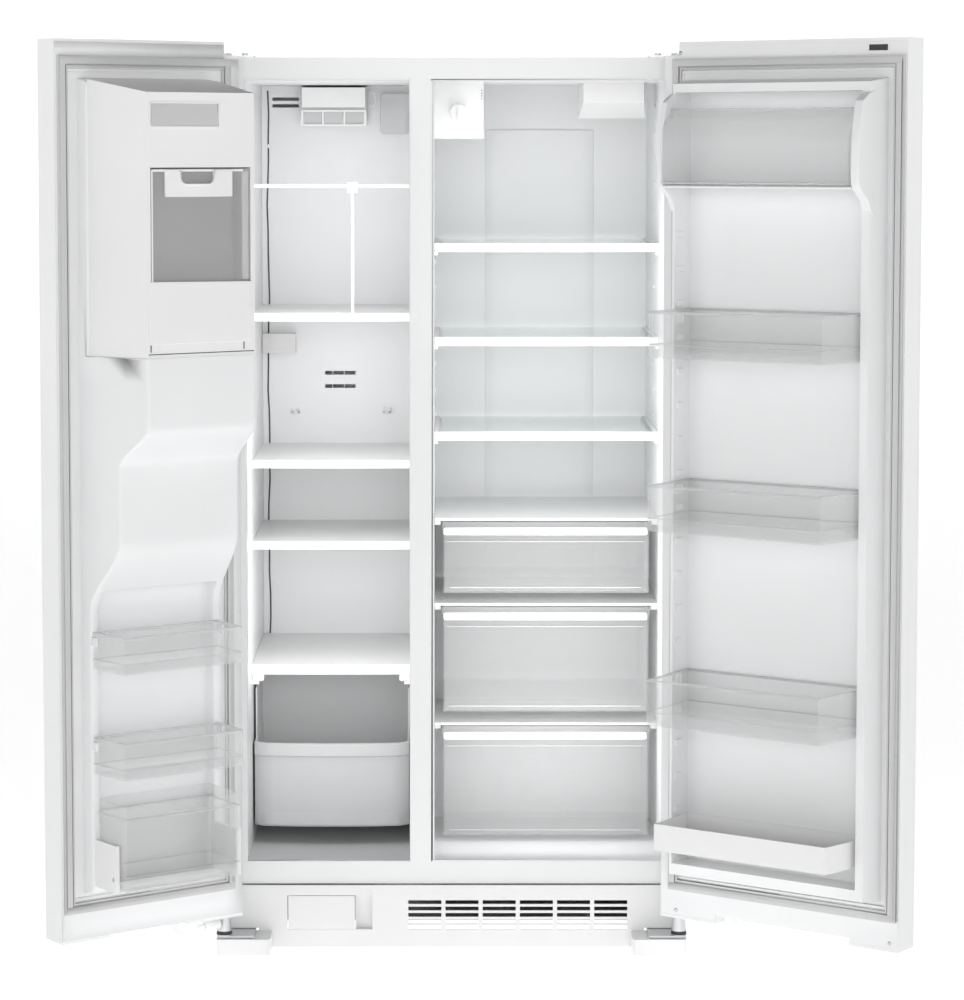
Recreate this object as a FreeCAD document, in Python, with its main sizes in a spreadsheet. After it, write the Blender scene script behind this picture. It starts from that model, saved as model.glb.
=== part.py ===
"""Side by side refrigerator, both doors standing open, as separate pieces on their real joints.

Millimetres.  +X is to the right of a person facing the appliance, +Y is into it and +Z is up.
Everything is drawn about the middle of the cabinet's front plane on the floor, with the doors
closed.  Each door is then swung about its hinge pins to its open place, and the whole appliance is
moved so that the origin is at the bottom centre of its own box.
"""
import FreeCAD
import Part
import Sketcher

import os
import re

Vector = FreeCAD.Vector
doc = FreeCAD.newDocument("refrigerator")
sheet = doc.addObject("Spreadsheet::Sheet", "dims")

# ---------------------------------------------------------------------------------------------
# Driving sizes
# ---------------------------------------------------------------------------------------------
SIZES = (
    # cabinet
    ("cab_w", 908, "cabinet width"),
    ("cab_d", 720, "cabinet depth behind its front plane"),
    ("cab_top", 1728, "top of the cabinet"),
    ("side_low", 45, "lower edge of the side panels"),
    ("flange_low", 128, "lower edge of the front flange and of the insulated box"),
    ("steel_t", 1, "sheet steel"),
    ("liner_t", 2, "thermoformed liner"),
    ("wall_left", 56, "insulated wall, freezer side"),
    ("wall_right", 42, "insulated wall, fresh food side"),
    ("open_low", 171, "floor of both compartments"),
    ("open_high", 1687, "ceiling of both compartments"),
    ("mull_x", 57, "mullion centre, left of the middle"),
    ("mull_w", 42, "mullion width"),
    ("fz_back", 625, "back of the freezer cavity"),
    ("fr_back", 612, "back of the fresh food cavity"),
    ("hump_y", 405, "front of the hump over the machine compartment"),
    ("hump_top", 384, "top of the hump"),
    ("mach_y", 440, "front of the machine compartment"),
    ("mach_top", 340, "top of the machine compartment"),
    ("mach_side", 20, "insulation beside the machine compartment"),
    # doors
    ("door_gap", 10, "door's inner plane to the cabinet's front plane"),
    ("door_thick", 62, "door without its inner liner's raised parts"),
    ("door_low", 84, "underside of the doors"),
    ("door_high", 1754, "top of the doors"),
    ("door_between", 6, "gap between the closed doors"),
    ("door_skin", 1, "door skin"),
    ("cap_t", 6, "door end cap"),
    ("pivot_side", 15, "hinge pin to the door's outer side"),
    ("pivot_in", 43, "hinge pin to the door's inner plane"),
    ("fz_angle", 144, "freezer door's opening at rest, degrees"),
    ("fr_angle", 145, "fresh food door's opening at rest, degrees"),
    ("notch_w", 31, "top corner notch over the hinge, along the door"),
    ("notch_drop", 27, "depth of that notch"),
    ("foot_rise", 14, "shallow recess in the door's underside"),
    ("foot_near", 122, "recess starts this far from the hinge side"),
    ("foot_far", 102, "recess ends this far from the free side"),
    ("pin_r", 6, "hinge pin radius"),
    ("pin_clear", 0.05, "running clearance of a pin in its bore"),
    ("pin_reach", 26, "length of hinge pin inside the door"),
    ("plate_t", 4, "hinge plate"),
    ("gasket_w", 20, "gasket band"),
    ("gasket_clear", 0.3, "closed gasket to the flange"),
    ("gasket_near", 20, "gasket to the door's hinge side"),
    ("gasket_far", 4, "gasket to the door's free side"),
    ("gasket_low", 140, "gasket's lower edge"),
    ("gasket_high", 1722, "gasket's upper edge"),
    # raised parts of the freezer door's liner, measured inward from the door's inner plane
    ("dyke_near", 62, "raised liner to the hinge side, at the door's plane"),
    ("dyke_far", 48, "raised liner to the free side, at the door's plane"),
    ("dyke_low", 176, "raised liner's lower edge"),
    ("dyke_high", 1682, "raised liner's upper edge"),
    ("dyke_in", 24, "height of the low rim"),
    ("dyke_rim", 15, "width of the low rim"),
    ("mid_in", 100, "height of the middle step"),
    ("mid_low", 723, "start of the slope up to the middle step"),
    ("mid_flat", 831, "end of that slope"),
    ("top_in", 170, "height of the deep step and of the ice module"),
    ("top_low", 986, "start of the slope up to the deep step"),
    ("top_flat", 1045, "end of that slope"),
    ("ice_low", 1175, "underside of the ice module"),
    ("ice_pocket_low", 1206, "floor of the ice bin's pocket"),
    ("ice_pocket_high", 1520, "ceiling of the ice bin's pocket"),
    ("ice_top", 1680, "top of the ice module at the door"),
    ("ice_brow", 1655, "top of the ice module at its face"),
    ("draft_near", 12, "taper of the hinge side over the full height of the raised liner"),
    ("draft_far", 45, "taper of the free side over the full height of the raised liner"),
    ("ice_bin_t", 2.5, "clear bins' walls"),
    ("fit_gap", 0.3, "parts that move near each other, or that rest in a seat"),
    # dispenser in the freezer door's outer face
    ("disp_near", 100, "recess to the hinge side"),
    ("disp_w", 190, "recess width"),
    ("disp_low", 850, "recess floor"),
    ("disp_high", 1140, "recess ceiling"),
    ("disp_in", 55, "recess, past the door's inner plane"),
    ("bezel_w", 14, "trim round the recess"),
    ("bezel_t", 3, "trim stands this far off the door"),
    ("chute_r", 20, "ice chute"),
    # fresh food door's liner
    ("rib_near", 48, "side rib to the hinge side"),
    ("rib_far", 37, "side rib to the free side"),
    ("rib_w", 22, "side rib width at the free side"),
    ("rib_near_w", 11, "side rib width at the hinge side"),
    ("rib_in", 60, "side rib height"),
    ("rib_draft", 6, "side rib taper"),
    ("sill_high", 205, "top of the bottom rib"),
    ("dairy_low", 1486, "floor of the dairy compartment"),
    ("dairy_high", 1630, "dairy lid's pin"),
    ("dairy_in", 114, "dairy lid's reach"),
    ("dairy_pin_in", 72, "dairy lid's pins, from the door's plane"),
    ("lid_t", 3, "dairy lid"),
    # door bins
    ("bin_t", 2.5, "door bin walls"),
    ("fz_bin_in", 122, "freezer door bins' reach"),
    ("fz_bin_high", 68, "freezer door bins' height"),
    ("fr_bin_in", 160, "fresh food door bins' reach"),
    ("fr_bin_high", 86, "fresh food door bins' height"),
    ("tub_in", 130, "bottom bin's reach"),
    ("tilt_low", 196, "tilting bin's floor"),
    ("tilt_high", 353, "tilting bin's rim"),
    ("tilt_pin_r", 4, "tilting bin's pins"),
    ("tilt_pin_in", 92, "tilting bin's pins, from the door's plane"),
    ("tilt_pin_z", 216, "tilting bin's pins, height"),
    ("bracket_in", 103, "end brackets' reach"),
    ("bracket_high", 280, "end brackets' top"),
    # handles
    ("grip_low", 625, "handle's lower end"),
    ("grip_high", 1454, "handle's upper end"),
    ("grip_w", 24, "handle width"),
    ("grip_t", 17, "grip thickness"),
    ("grip_off", 60, "handle's reach off the door"),
    ("grip_foot", 55, "handle foot's height"),
    ("grip_edge", 42, "handle's middle to the door's free side"),
    ("grip_round", 5, "handle edges"),
    # freezer inside
    ("shelf_front", 190, "front of the shelves"),
    ("cover_y", 556, "front of the evaporator cover"),
    ("cover_t", 3, "evaporator cover"),
    ("shelf_t", 4, "shelf plate"),
    ("trim_high", 16, "front trim of a shelf"),
    ("trim_t", 8, "front trim thickness"),
    ("shelf_clear", 0.4, "shelf to the liner's side"),
    ("fz_shelf_top", 1230, "upper freezer shelf"),
    ("fz_shelf_mid", 938, "middle freezer shelf"),
    ("fz_shelf_low", 776, "lower freezer shelf"),
    ("fz_basket_roof", 535, "shelf over the basket"),
    ("rail_z", 1481, "upper rail"),
    ("rail_r", 4, "upper rail's rod"),
    ("post_x", -196, "upper rail's post"),
    ("basket_front", 145, "front of the freezer basket"),
    ("basket_low", 207, "basket's floor"),
    ("basket_rim", 482, "basket's rim at the sides"),
    ("basket_lip", 377, "basket's front rim"),
    # fresh food inside
    ("glass_z_top", 1367, "upper glass shelf"),
    ("glass_z_mid", 1181, "middle glass shelf"),
    ("glass_z_low", 993, "lower glass shelf"),
    ("drawer_front", 172, "front of the drawers"),
    ("lid_z_top", 822, "cover of the upper drawer"),
    ("lid_z_mid", 652, "cover of the middle drawer"),
    ("lid_z_low", 412, "cover of the lower drawer"),
    ("drawer_deep", 560, "back of the upper drawers"),
    ("drawer_low_top", 674, "floor of the upper drawer"),
    ("drawer_low_mid", 436, "floor of the middle drawer"),
    ("drawer_low_low", 186, "floor of the lower drawer"),
    ("drawer_side", 18, "drawer to the liner's side"),
    ("drawer_t", 3, "drawer walls"),
    ("knob_r", 16, "temperature knob"),
    # base
    ("grille_out", 7, "grille's face in front of the cabinet"),
    ("grille_low", 4, "grille's lower edge"),
    ("grille_high", 126, "grille's upper edge"),
    ("grille_t", 3, "grille wall"),
    ("flap_left", -318, "filter flap's left side"),
    ("flap_right", -188, "filter flap's right side"),
    ("flap_low", 40, "filter flap's lower edge"),
    ("flap_high", 105, "filter flap's upper edge"),
    ("pocket_in", 9, "finger pocket's depth behind the cabinet's front"),
    ("flap_pin_r", 1, "filter flap's pin"),
    ("pocket_right", -155, "finger pocket's right side"),
    ("louvre_left", -88, "louvres' left side"),
    ("louvre_right", 346, "louvres' right side"),
    ("louvre_low", 36, "lowest louvre's lower edge"),
    ("louvre_high", 99, "highest louvre's upper edge"),
    ("foot_w", 105, "foot cover width"),
    ("foot_high", 36, "foot cover top"),
    ("foot_out", 78, "foot cover's reach in front of the cabinet"),
    ("pan_low", 50, "underside of the base pan"),
    ("pan_t", 3, "base pan"),
    ("leg_x", 405, "levelling legs, left and right of the middle"),
    ("leg_y", 72, "levelling legs, behind the front plane"),
    ("wheel_r", 22, "rear roller radius"),
    ("wheel_w", 20, "rear roller width"),
    ("wheel_x", 400, "rear rollers, left and right of the middle"),
    ("wheel_y", 640, "rear rollers, behind the front plane"),
    ("axle_r", 4, "roller axle"),
    ("fan_r", 68, "condenser fan"),
    ("evap_fan_r", 48, "evaporator fan"),
)

for row, (alias, value, note) in enumerate(SIZES, start=1):
    sheet.set(f"A{row}", note)
    sheet.set(f"B{row}", str(value))
    sheet.setAlias(f"B{row}", alias)
doc.recompute()


def val(text):
    """Value of an expression of sheet sizes, for shapes that read the sheet directly."""
    return float(sheet.evalExpression(re.sub(r"([a-z]\w*)", r"dims.\1", text)))


# ---------------------------------------------------------------------------------------------
# Small vocabulary: every bound below is an expression of the sheet's sizes
# ---------------------------------------------------------------------------------------------
def bind(obj, prop, text):
    """Tie a property to an expression of sheet sizes."""
    obj.setExpression(prop, re.sub(r"([a-z]\w*)", r"dims.\1", text))


def box(x, y, z):
    """A box between the bounds x = (low, high), y and z."""
    made = doc.addObject("Part::Box", "block")
    for prop, (low, high) in zip(("Length", "Width", "Height"), (x, y, z)):
        bind(made, prop, f"({high}) - ({low})")
    for axis, (low, _) in zip("xyz", (x, y, z)):
        bind(made, f"Placement.Base.{axis}", low)
    return made


AXES = {"x": Vector(1, 0, 0), "y": Vector(0, 1, 0), "z": Vector(0, 0, 1)}


def rod(along, radius, start, length, top_radius=None):
    """A cylinder, or a cone where top_radius is given, from start along an axis."""
    made = doc.addObject("Part::Cylinder" if top_radius is None else "Part::Cone", "rod")
    made.Placement = FreeCAD.Placement(Vector(), FreeCAD.Rotation(AXES["z"], AXES[along]))
    if top_radius is None:
        bind(made, "Radius", radius)
    else:
        bind(made, "Radius1", radius)
        bind(made, "Radius2", top_radius)
    bind(made, "Height", length)
    for axis, place in zip("xyz", start):
        bind(made, f"Placement.Base.{axis}", place)
    return made


def wedge(y, x_near, z_near, x_far, z_far):
    """A tapered block: x_near by z_near at y[0], x_far by z_far at y[1]."""
    made = doc.addObject("Part::Wedge", "taper")
    bounds = {
        "Ymin": y[0], "Ymax": y[1],
        "Xmin": x_near[0], "Xmax": x_near[1], "Zmin": z_near[0], "Zmax": z_near[1],
        "X2min": x_far[0], "X2max": x_far[1], "Z2min": z_far[0], "Z2max": z_far[1],
    }
    for prop in bounds:
        setattr(made, prop, val(bounds[prop]))
        bind(made, prop, bounds[prop])
    return made


def fuse(*shapes):
    """One solid from pieces that touch or overlap."""
    made = doc.addObject("Part::MultiFuse", "joined")
    made.Shapes = list(shapes)
    made.Refine = True
    return made


def cut(base, *tools):
    """Base without the tools."""
    made = doc.addObject("Part::Cut", "cut")
    made.Base = base
    made.Tool = tools[0] if len(tools) == 1 else group(*tools)
    made.Refine = True
    return made


def group(*shapes):
    """Separate solids kept together in one node."""
    made = doc.addObject("Part::Compound", "set")
    made.Links = list(shapes)
    return made


def feature(shape):
    """A shape made with Part's own functions."""
    made = doc.addObject("Part::Feature", "formed")
    made.Shape = shape
    return made


def rounded(base, radius, chosen):
    """Base with a fillet on every edge that chosen(edge) picks."""
    doc.recompute()
    made = doc.addObject("Part::Fillet", "rounded")
    made.Base = base
    size = val(radius)
    picked = [i for i, edge in enumerate(base.Shape.Edges, start=1) if chosen(edge)]
    made.Edges = [(i, size, size) for i in picked]
    return made


def is_along(edge, axis):
    """True for a straight edge parallel to an axis."""
    if not isinstance(edge.Curve, Part.Line):
        return False
    return abs(abs(edge.Curve.Direction.dot(AXES[axis])) - 1) < 1e-6


pieces = {}


def piece(label, shape, place="cabinet"):
    """Name a finished piece and say which of the three placings it takes."""
    made = shape if shape.TypeId != "Part::Box" else group(shape)
    made.Label = label
    pieces[label] = (made, place)
    return made


def minus(bounds, less):
    """Bounds drawn in by a wall on both sides."""
    return (f"({bounds[0]}) + ({less})", f"({bounds[1]}) - ({less})")


def tray(x, y, z, wall, open_side):
    """A hollow box with one side open: -x, +x, -y, +y, -z or +z."""
    inner = {"x": minus(x, wall), "y": minus(y, wall), "z": minus(z, wall)}
    outer = {"x": x, "y": y, "z": z}
    axis = open_side[1]
    low, high = inner[axis]
    if open_side[0] == "+":
        inner[axis] = (low, f"({outer[axis][1]}) + 1")
    else:
        inner[axis] = (f"({outer[axis][0]}) - 1", high)
    return cut(box(x, y, z), box(inner["x"], inner["y"], inner["z"]))


# ---------------------------------------------------------------------------------------------
# Places that several pieces share
# ---------------------------------------------------------------------------------------------
SIDE = "(cab_w/2)"
FZ_OPEN = ("-cab_w/2 + wall_left", "-mull_x - mull_w/2")
FR_OPEN = ("-mull_x + mull_w/2", "cab_w/2 - wall_right")
OPEN_Z = ("open_low", "open_high")
FZ_W = "(cab_w/2 - mull_x - door_between/2)"
FR_W = "(cab_w/2 + mull_x - door_between/2)"
PIVOT_X = "(cab_w/2 - pivot_side)"
PIVOT_Y = "(-door_gap - pivot_in)"


def fz(low, high):
    """Bounds along the freezer door, from its hinge side."""
    return (f"-cab_w/2 + ({low})", f"-cab_w/2 + ({high})")


def fr(low, high):
    """Bounds along the fresh food door, from its hinge side."""
    return (f"cab_w/2 - ({high})", f"cab_w/2 - ({low})")


def inward(low, high):
    """Bounds across a door, from its inner plane towards the compartment."""
    return (f"-door_gap + ({low})", f"-door_gap + ({high})")


# ---------------------------------------------------------------------------------------------
# Cabinet
# ---------------------------------------------------------------------------------------------
def cavity(opening, back, wall):
    """Compartment space: full depth above the hump, shorter below it."""
    x = minus(opening, wall)
    front = "-1"
    floor = f"open_low + ({wall})"
    roof = f"open_high - ({wall})"
    upper = box(x, (front, f"{back} - ({wall})"), (f"hump_top + ({wall})", roof))
    lower = box(x, (front, f"hump_y - ({wall})"), (floor, roof))
    return fuse(upper, lower)


def cabinet():
    outer_x = (f"-{SIDE}", SIDE)
    inner_x = minus(outer_x, "steel_t")
    depth = ("steel_t", "cab_d - steel_t")
    machine = box(minus(outer_x, "mach_side"), ("mach_y", "cab_d + 1"), ("0", "mach_top"))

    sides = box(outer_x, ("0", "cab_d"), ("side_low", "cab_top"))
    hollow = box(inner_x, ("steel_t", "cab_d + 1"), ("side_low - 1", "cab_top - steel_t"))
    below = box(inner_x, ("-1", "2"), ("side_low - 1", "flange_low"))
    doorways = [box(opening, ("-1", "2"), OPEN_Z) for opening in (FZ_OPEN, FR_OPEN)]
    piece("cabinet_shell", cut(sides, hollow, below, *doorways))

    block = box(inner_x, depth, ("flange_low", "cab_top - steel_t"))
    piece("cabinet_foam", cut(block, machine, cavity(FZ_OPEN, "fz_back", "0"),
                              cavity(FR_OPEN, "fr_back", "0")))
    for name, opening, back in (("freezer_liner", FZ_OPEN, "fz_back"),
                                ("fridge_liner", FR_OPEN, "fr_back")):
        front = box((f"{opening[0]} - 5", f"{opening[1]} + 5"), ("-2", "steel_t"),
                    ("open_low - 5", "open_high + 5"))
        skin = cut(cavity(opening, back, "0"), cavity(opening, back, "liner_t"), front)
        piece(name, skin)

    piece("back_panel", box(inner_x, ("cab_d - steel_t", "cab_d"), ("mach_top", "cab_top - steel_t")))


def machine_compartment():
    pan_x = minus((f"-{SIDE}", SIDE), "steel_t + fit_gap")
    plate = box(pan_x, ("20", "cab_d - 4"), ("pan_low", "pan_low + pan_t"))
    leg_holes = [rod("z", "5.2", (f"{side}leg_x", "leg_y", "pan_low - 1"), "pan_t + 2")
                 for side in ("-", "")]
    parts = [cut(plate, *leg_holes)]
    for edge in (0, 1):
        wall = (pan_x[0], f"({pan_x[0]}) + 2") if edge == 0 else (f"({pan_x[1]}) - 2", pan_x[1])
        parts.append(box(wall, ("52", "cab_d - 4"), ("pan_low", "flange_low")))
    for side in ("-", ""):
        middle = f"{side}wheel_x"
        for edge in ("-wheel_w/2 - 4", "wheel_w/2 + 1"):
            ear = box((f"{middle} + ({edge})", f"{middle} + ({edge}) + 3"),
                      ("wheel_y - 14", "wheel_y + 14"), ("wheel_r - 10", "pan_low + 1"))
            parts.append(ear)
        parts.append(rod("x", "axle_r", (f"{middle} - wheel_w/2 - 4", "wheel_y", "wheel_r"),
                         "wheel_w + 8"))
    piece("base_pan", fuse(*parts))

    legs = []
    for side in ("-", ""):
        disc = rod("z", "18", (f"{side}leg_x", "leg_y", "0"), "9")
        stem = rod("z", "5", (f"{side}leg_x", "leg_y", "8"), "70")
        nut = rod("z", "9", (f"{side}leg_x", "leg_y", "pan_low + pan_t"), "8")
        legs.append(fuse(disc, stem, nut))
    piece("levelling_legs", group(*legs))

    # slotted cover over the back of the machine compartment
    cover = box(minus((f"-{SIDE}", SIDE), "mach_side + fit_gap"), ("cab_d - steel_t - 1", "cab_d"),
                ("pan_low + pan_t + 1", "mach_top - fit_gap"))
    slots = []
    for row in range(7):
        for column in range(4):
            left = f"-330 + {column} * 175"
            low = f"pan_low + 60 + {row} * 26"
            slots.append(box((left, f"{left} + 135"), ("cab_d - 5", "cab_d + 2"), (low, f"{low} + 10")))
    piece("machine_cover", cut(cover, *slots))

    inlet = fuse(box(("340", "390"), ("cab_d - 22", "cab_d - steel_t - 1"), ("84", "120")),
                 rod("y", "9", ("365", "cab_d - 24", "102"), "10"))
    piece("power_inlet", inlet)

    # hermetic compressor: a turned can on a footed plate
    can = doc.addObject("PartDesign::Body", "compressor_can")
    profile = can.newObject("Sketcher::SketchObject", "can_profile")
    attach(profile, can, "XZ_Plane")
    polygon(profile, ((0, 8), (62, 8), (80, 30), (80, 128), (62, 166), (30, 178), (0, 178)))
    turned = can.newObject("PartDesign::Revolution", "can_turned")
    turned.Profile = profile
    turned.ReferenceAxis = (profile, ["V_Axis"])
    turned.Angle = 360
    can.Placement.Base = Vector(-270, 580, val("pan_low + pan_t"))
    foot = box(("-360", "-180"), ("500", "660"), ("pan_low + pan_t", "pan_low + pan_t + 9"))
    stub = rod("z", "5", ("-215", "610", "pan_low + pan_t + 140"), "70")
    piece("compressor", fuse(can, foot, stub))

    piece("condenser", feature(serpentine(rows=6, layers=3)))

    motor = fuse(rod("x", "24", ("-52", "580", "150"), "40"),
                 rod("x", "3", ("-70", "580", "150"), "20"),
                 box(("-40", "-34"), ("500", "660"), ("pan_low + pan_t", "152")))
    hub = fuse(rod("y", "20", ("-240", "cover_y + 34", "1420"), "28"),
               rod("y", "3", ("-240", "cover_y + 16", "1420"), "20"),
               box(("-300", "-180"), ("cover_y + 62", "fz_back - liner_t"), ("1405", "1435")))
    piece("fan_motors", group(motor, hub))
    piece("condenser_fan", fan("fan_r", 14, 5, (-70, 580, 150), "x"), "loose")
    piece("evaporator_fan", fan("evap_fan_r", 10, 5, (-240, val("cover_y + 18"), 1420), "y"), "loose")


def serpentine(rows, layers):
    """Tube condenser: straight runs joined by half turns, in upright layers."""
    tube, pitch, left, right = 3.5, 32.0, 20.0, 330.0
    low, back = val("pan_low + pan_t") + tube, 500.0
    solids = []
    for layer in range(layers):
        y = back + 60.0 * layer
        edges = []
        for row in range(rows):
            z = low + pitch * row
            ends = (left, right) if row % 2 == 0 else (right, left)
            edges.append(Part.makeLine(Vector(ends[0], y, z), Vector(ends[1], y, z)))
            if row < rows - 1:
                bulge = pitch / 2 if row % 2 == 0 else -pitch / 2
                edges.append(Part.Arc(Vector(ends[1], y, z),
                                      Vector(ends[1] + bulge, y, z + pitch / 2),
                                      Vector(ends[1], y, z + pitch)).toShape())
        path = Part.Wire(edges)
        ring = Part.Wire(Part.makeCircle(tube, Vector(left, y, low), Vector(1, 0, 0)))
        solids.append(path.makePipeShell([ring], True, False))
    return Part.makeCompound(solids)


def fan(radius, depth, blades, centre, along):
    """Axial fan wheel, bored for its motor shaft."""
    reach = val(radius)
    hub_r = reach * 0.3
    wheel = Part.makeCylinder(hub_r, depth)
    for i in range(blades):
        blade = Part.makeBox(reach - hub_r + 2, 2.0, depth * 1.5)
        blade.translate(Vector(hub_r - 2, -1, -depth * 0.25))
        blade.rotate(Vector(0, 0, depth / 2), Vector(1, 0, 0), 50)
        blade.rotate(Vector(), Vector(0, 0, 1), 360.0 * i / blades)
        wheel = wheel.fuse(blade)
    keep = Part.makeCylinder(reach, depth)
    wheel = wheel.common(keep).cut(Part.makeCylinder(3.05, depth))
    wheel = wheel.removeSplitter()
    made = feature(wheel)
    made.Placement = FreeCAD.Placement(Vector(*centre), FreeCAD.Rotation(AXES["z"], AXES[along]))
    return made


def attach(sketch, body, role):
    """Put a sketch on one of its own body's origin planes."""
    plane = [item for item in body.Origin.OriginFeatures if item.Role == role][0]
    sketch.AttachmentSupport = [(plane, "")]
    sketch.MapMode = "FlatFace"


def polygon(sketch, points):
    """Closed outline through points."""
    count = len(points)
    for i in range(count):
        start = Vector(points[i][0], points[i][1], 0)
        end = Vector(points[(i + 1) % count][0], points[(i + 1) % count][1], 0)
        sketch.addGeometry(Part.LineSegment(start, end), False)
    for i in range(count):
        sketch.addConstraint(Sketcher.Constraint("Coincident", i, 2, (i + 1) % count, 1))


def base():
    face_y = ("-grille_out", "-1")
    shell = tray(minus((f"-{SIDE}", SIDE), "8"), face_y, ("grille_low", "grille_high"), "grille_t", "+y")
    through = ("-grille_out - 1", "1")
    holes = [box(minus(("flap_left", "pocket_right"), "-1"), ("-grille_out - 1", "-grille_out + grille_t + 1"),
                 ("flap_low - 1", "flap_high + 1"))]
    rows, columns = 5, 6
    for row in range(rows):
        for column in range(columns):
            left = f"louvre_left + (louvre_right - louvre_left) * {column} / {columns}"
            low = f"louvre_low + (louvre_high - louvre_low) * {row} / {rows}"
            holes.append(box((f"{left} + 4", f"{left} + (louvre_right - louvre_left) / {columns} - 4"),
                             through, (f"{low} + 2.5", f"{low} + (louvre_high - louvre_low) / {rows} - 2.5")))
    for side in (f"-{SIDE} + 3", f"{SIDE} - 79"):
        holes.append(box((side, f"({side}) + 76"), through, ("foot_high + 0.5", "foot_high + 6")))
    holes.append(rod("z", "flap_pin_r + pin_clear", ("flap_left + 2", "-grille_out + grille_t/2", "flap_low - 4"),
                     "flap_high - flap_low + 8"))
    cup_x = ("flap_right + 1", "pocket_right + 3")
    cup = tray(cup_x, ("-grille_out + grille_t", "pocket_in"), ("flap_low - 3", "flap_high + 3"), "2", "-y")
    piece("base_grille", fuse(cut(shell, *holes), cup))

    flap = box(("flap_left + fit_gap", "flap_right"), ("-grille_out", "-grille_out + grille_t"),
               ("flap_low", "flap_high"))
    spindle = rod("z", "flap_pin_r", ("flap_left + 2", "-grille_out + grille_t/2", "flap_low - 3.5"),
                  "flap_high - flap_low + 7")
    piece("filter_flap", fuse(flap, spindle), "loose")
    piece("water_filter", fuse(rod("y", "24", ("-250", "6", "flap_low + 33"), "12"),
                               rod("y", "19.9", ("-250", "16", "flap_low + 33"), "120"),
                               box(("-262", "-238"), ("-2", "7"), ("flap_low + 31", "flap_low + 35"))))

    covers, lower, upper = [], [], []
    for sign in (-1, 1):
        def x(low, high, sign=sign):
            """Bounds measured from the cabinet's side towards its middle."""
            return (f"-{SIDE} + {low}", f"-{SIDE} + {high}") if sign < 0 else (
                f"{SIDE} - {high}", f"{SIDE} - {low}")
        pivot = "-" + PIVOT_X if sign < 0 else PIVOT_X
        cover = box(x("1", "foot_w"), ("-foot_out", "-grille_out - fit_gap"), ("grille_low", "foot_high"))
        covers.append(rounded(cover, "8", lambda e: is_along(e, "z") and e.BoundBox.YMax < -50))
        arm = box(x("3.5", "74"), (f"{PIVOT_Y} - 14", "50"), ("foot_high + 1", "foot_high + 5"))
        seat = box(x("3.5", "74"), ("20.5", "50"), ("foot_high + 4", "pan_low"))
        cone = rod("z", "15", (pivot, PIVOT_Y, "foot_high + 4"), "door_low - foot_high - 8", "11")
        pin = rod("z", "pin_r", (pivot, PIVOT_Y, "door_low - 8"), "pin_reach + 8")
        lower.append(fuse(arm, seat, cone, pin))
        plate = box(x("8", "76"), ("4", "74"), ("cab_top", "cab_top + plate_t"))
        tongue = box((f"{pivot} - 13", f"{pivot} + 13"), (PIVOT_Y, "5"), ("cab_top", "cab_top + plate_t"))
        nose = rod("z", "13", (pivot, PIVOT_Y, "cab_top"), "plate_t")
        down = rod("z", "pin_r", (pivot, PIVOT_Y, "cab_top - pin_reach"), "pin_reach + 2")
        bolts = [rod("z", "6.5", (f"({x(near, near)[0]})", "34", "cab_top + 3"), "6")
                 for near in ("26", "58")]
        upper.append(fuse(plate, tongue, nose, down, *bolts))
    piece("foot_covers", group(*covers))
    piece("lower_hinges", group(*lower))
    piece("upper_hinges", group(*upper))


def rollers():
    for name, side in (("roller_left", "-"), ("roller_right", "")):
        wheel = doc.addObject("PartDesign::Body", name)
        profile = wheel.newObject("Sketcher::SketchObject", name + "_profile")
        attach(profile, wheel, "XY_Plane")
        half, outer, bore = val("wheel_w/2"), val("wheel_r"), val("axle_r + pin_clear")
        polygon(profile, ((-half, bore), (half, bore), (half, outer - 2), (half - 2, outer),
                          (2 - half, outer), (-half, outer - 2)))
        turned = wheel.newObject("PartDesign::Revolution", name + "_turned")
        turned.Profile = profile
        turned.ReferenceAxis = (profile, ["H_Axis"])
        turned.Angle = 360
        wheel.Placement.Base = Vector(val(f"{side}wheel_x"), val("wheel_y"), outer)
        piece(name, wheel, "loose")


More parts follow.
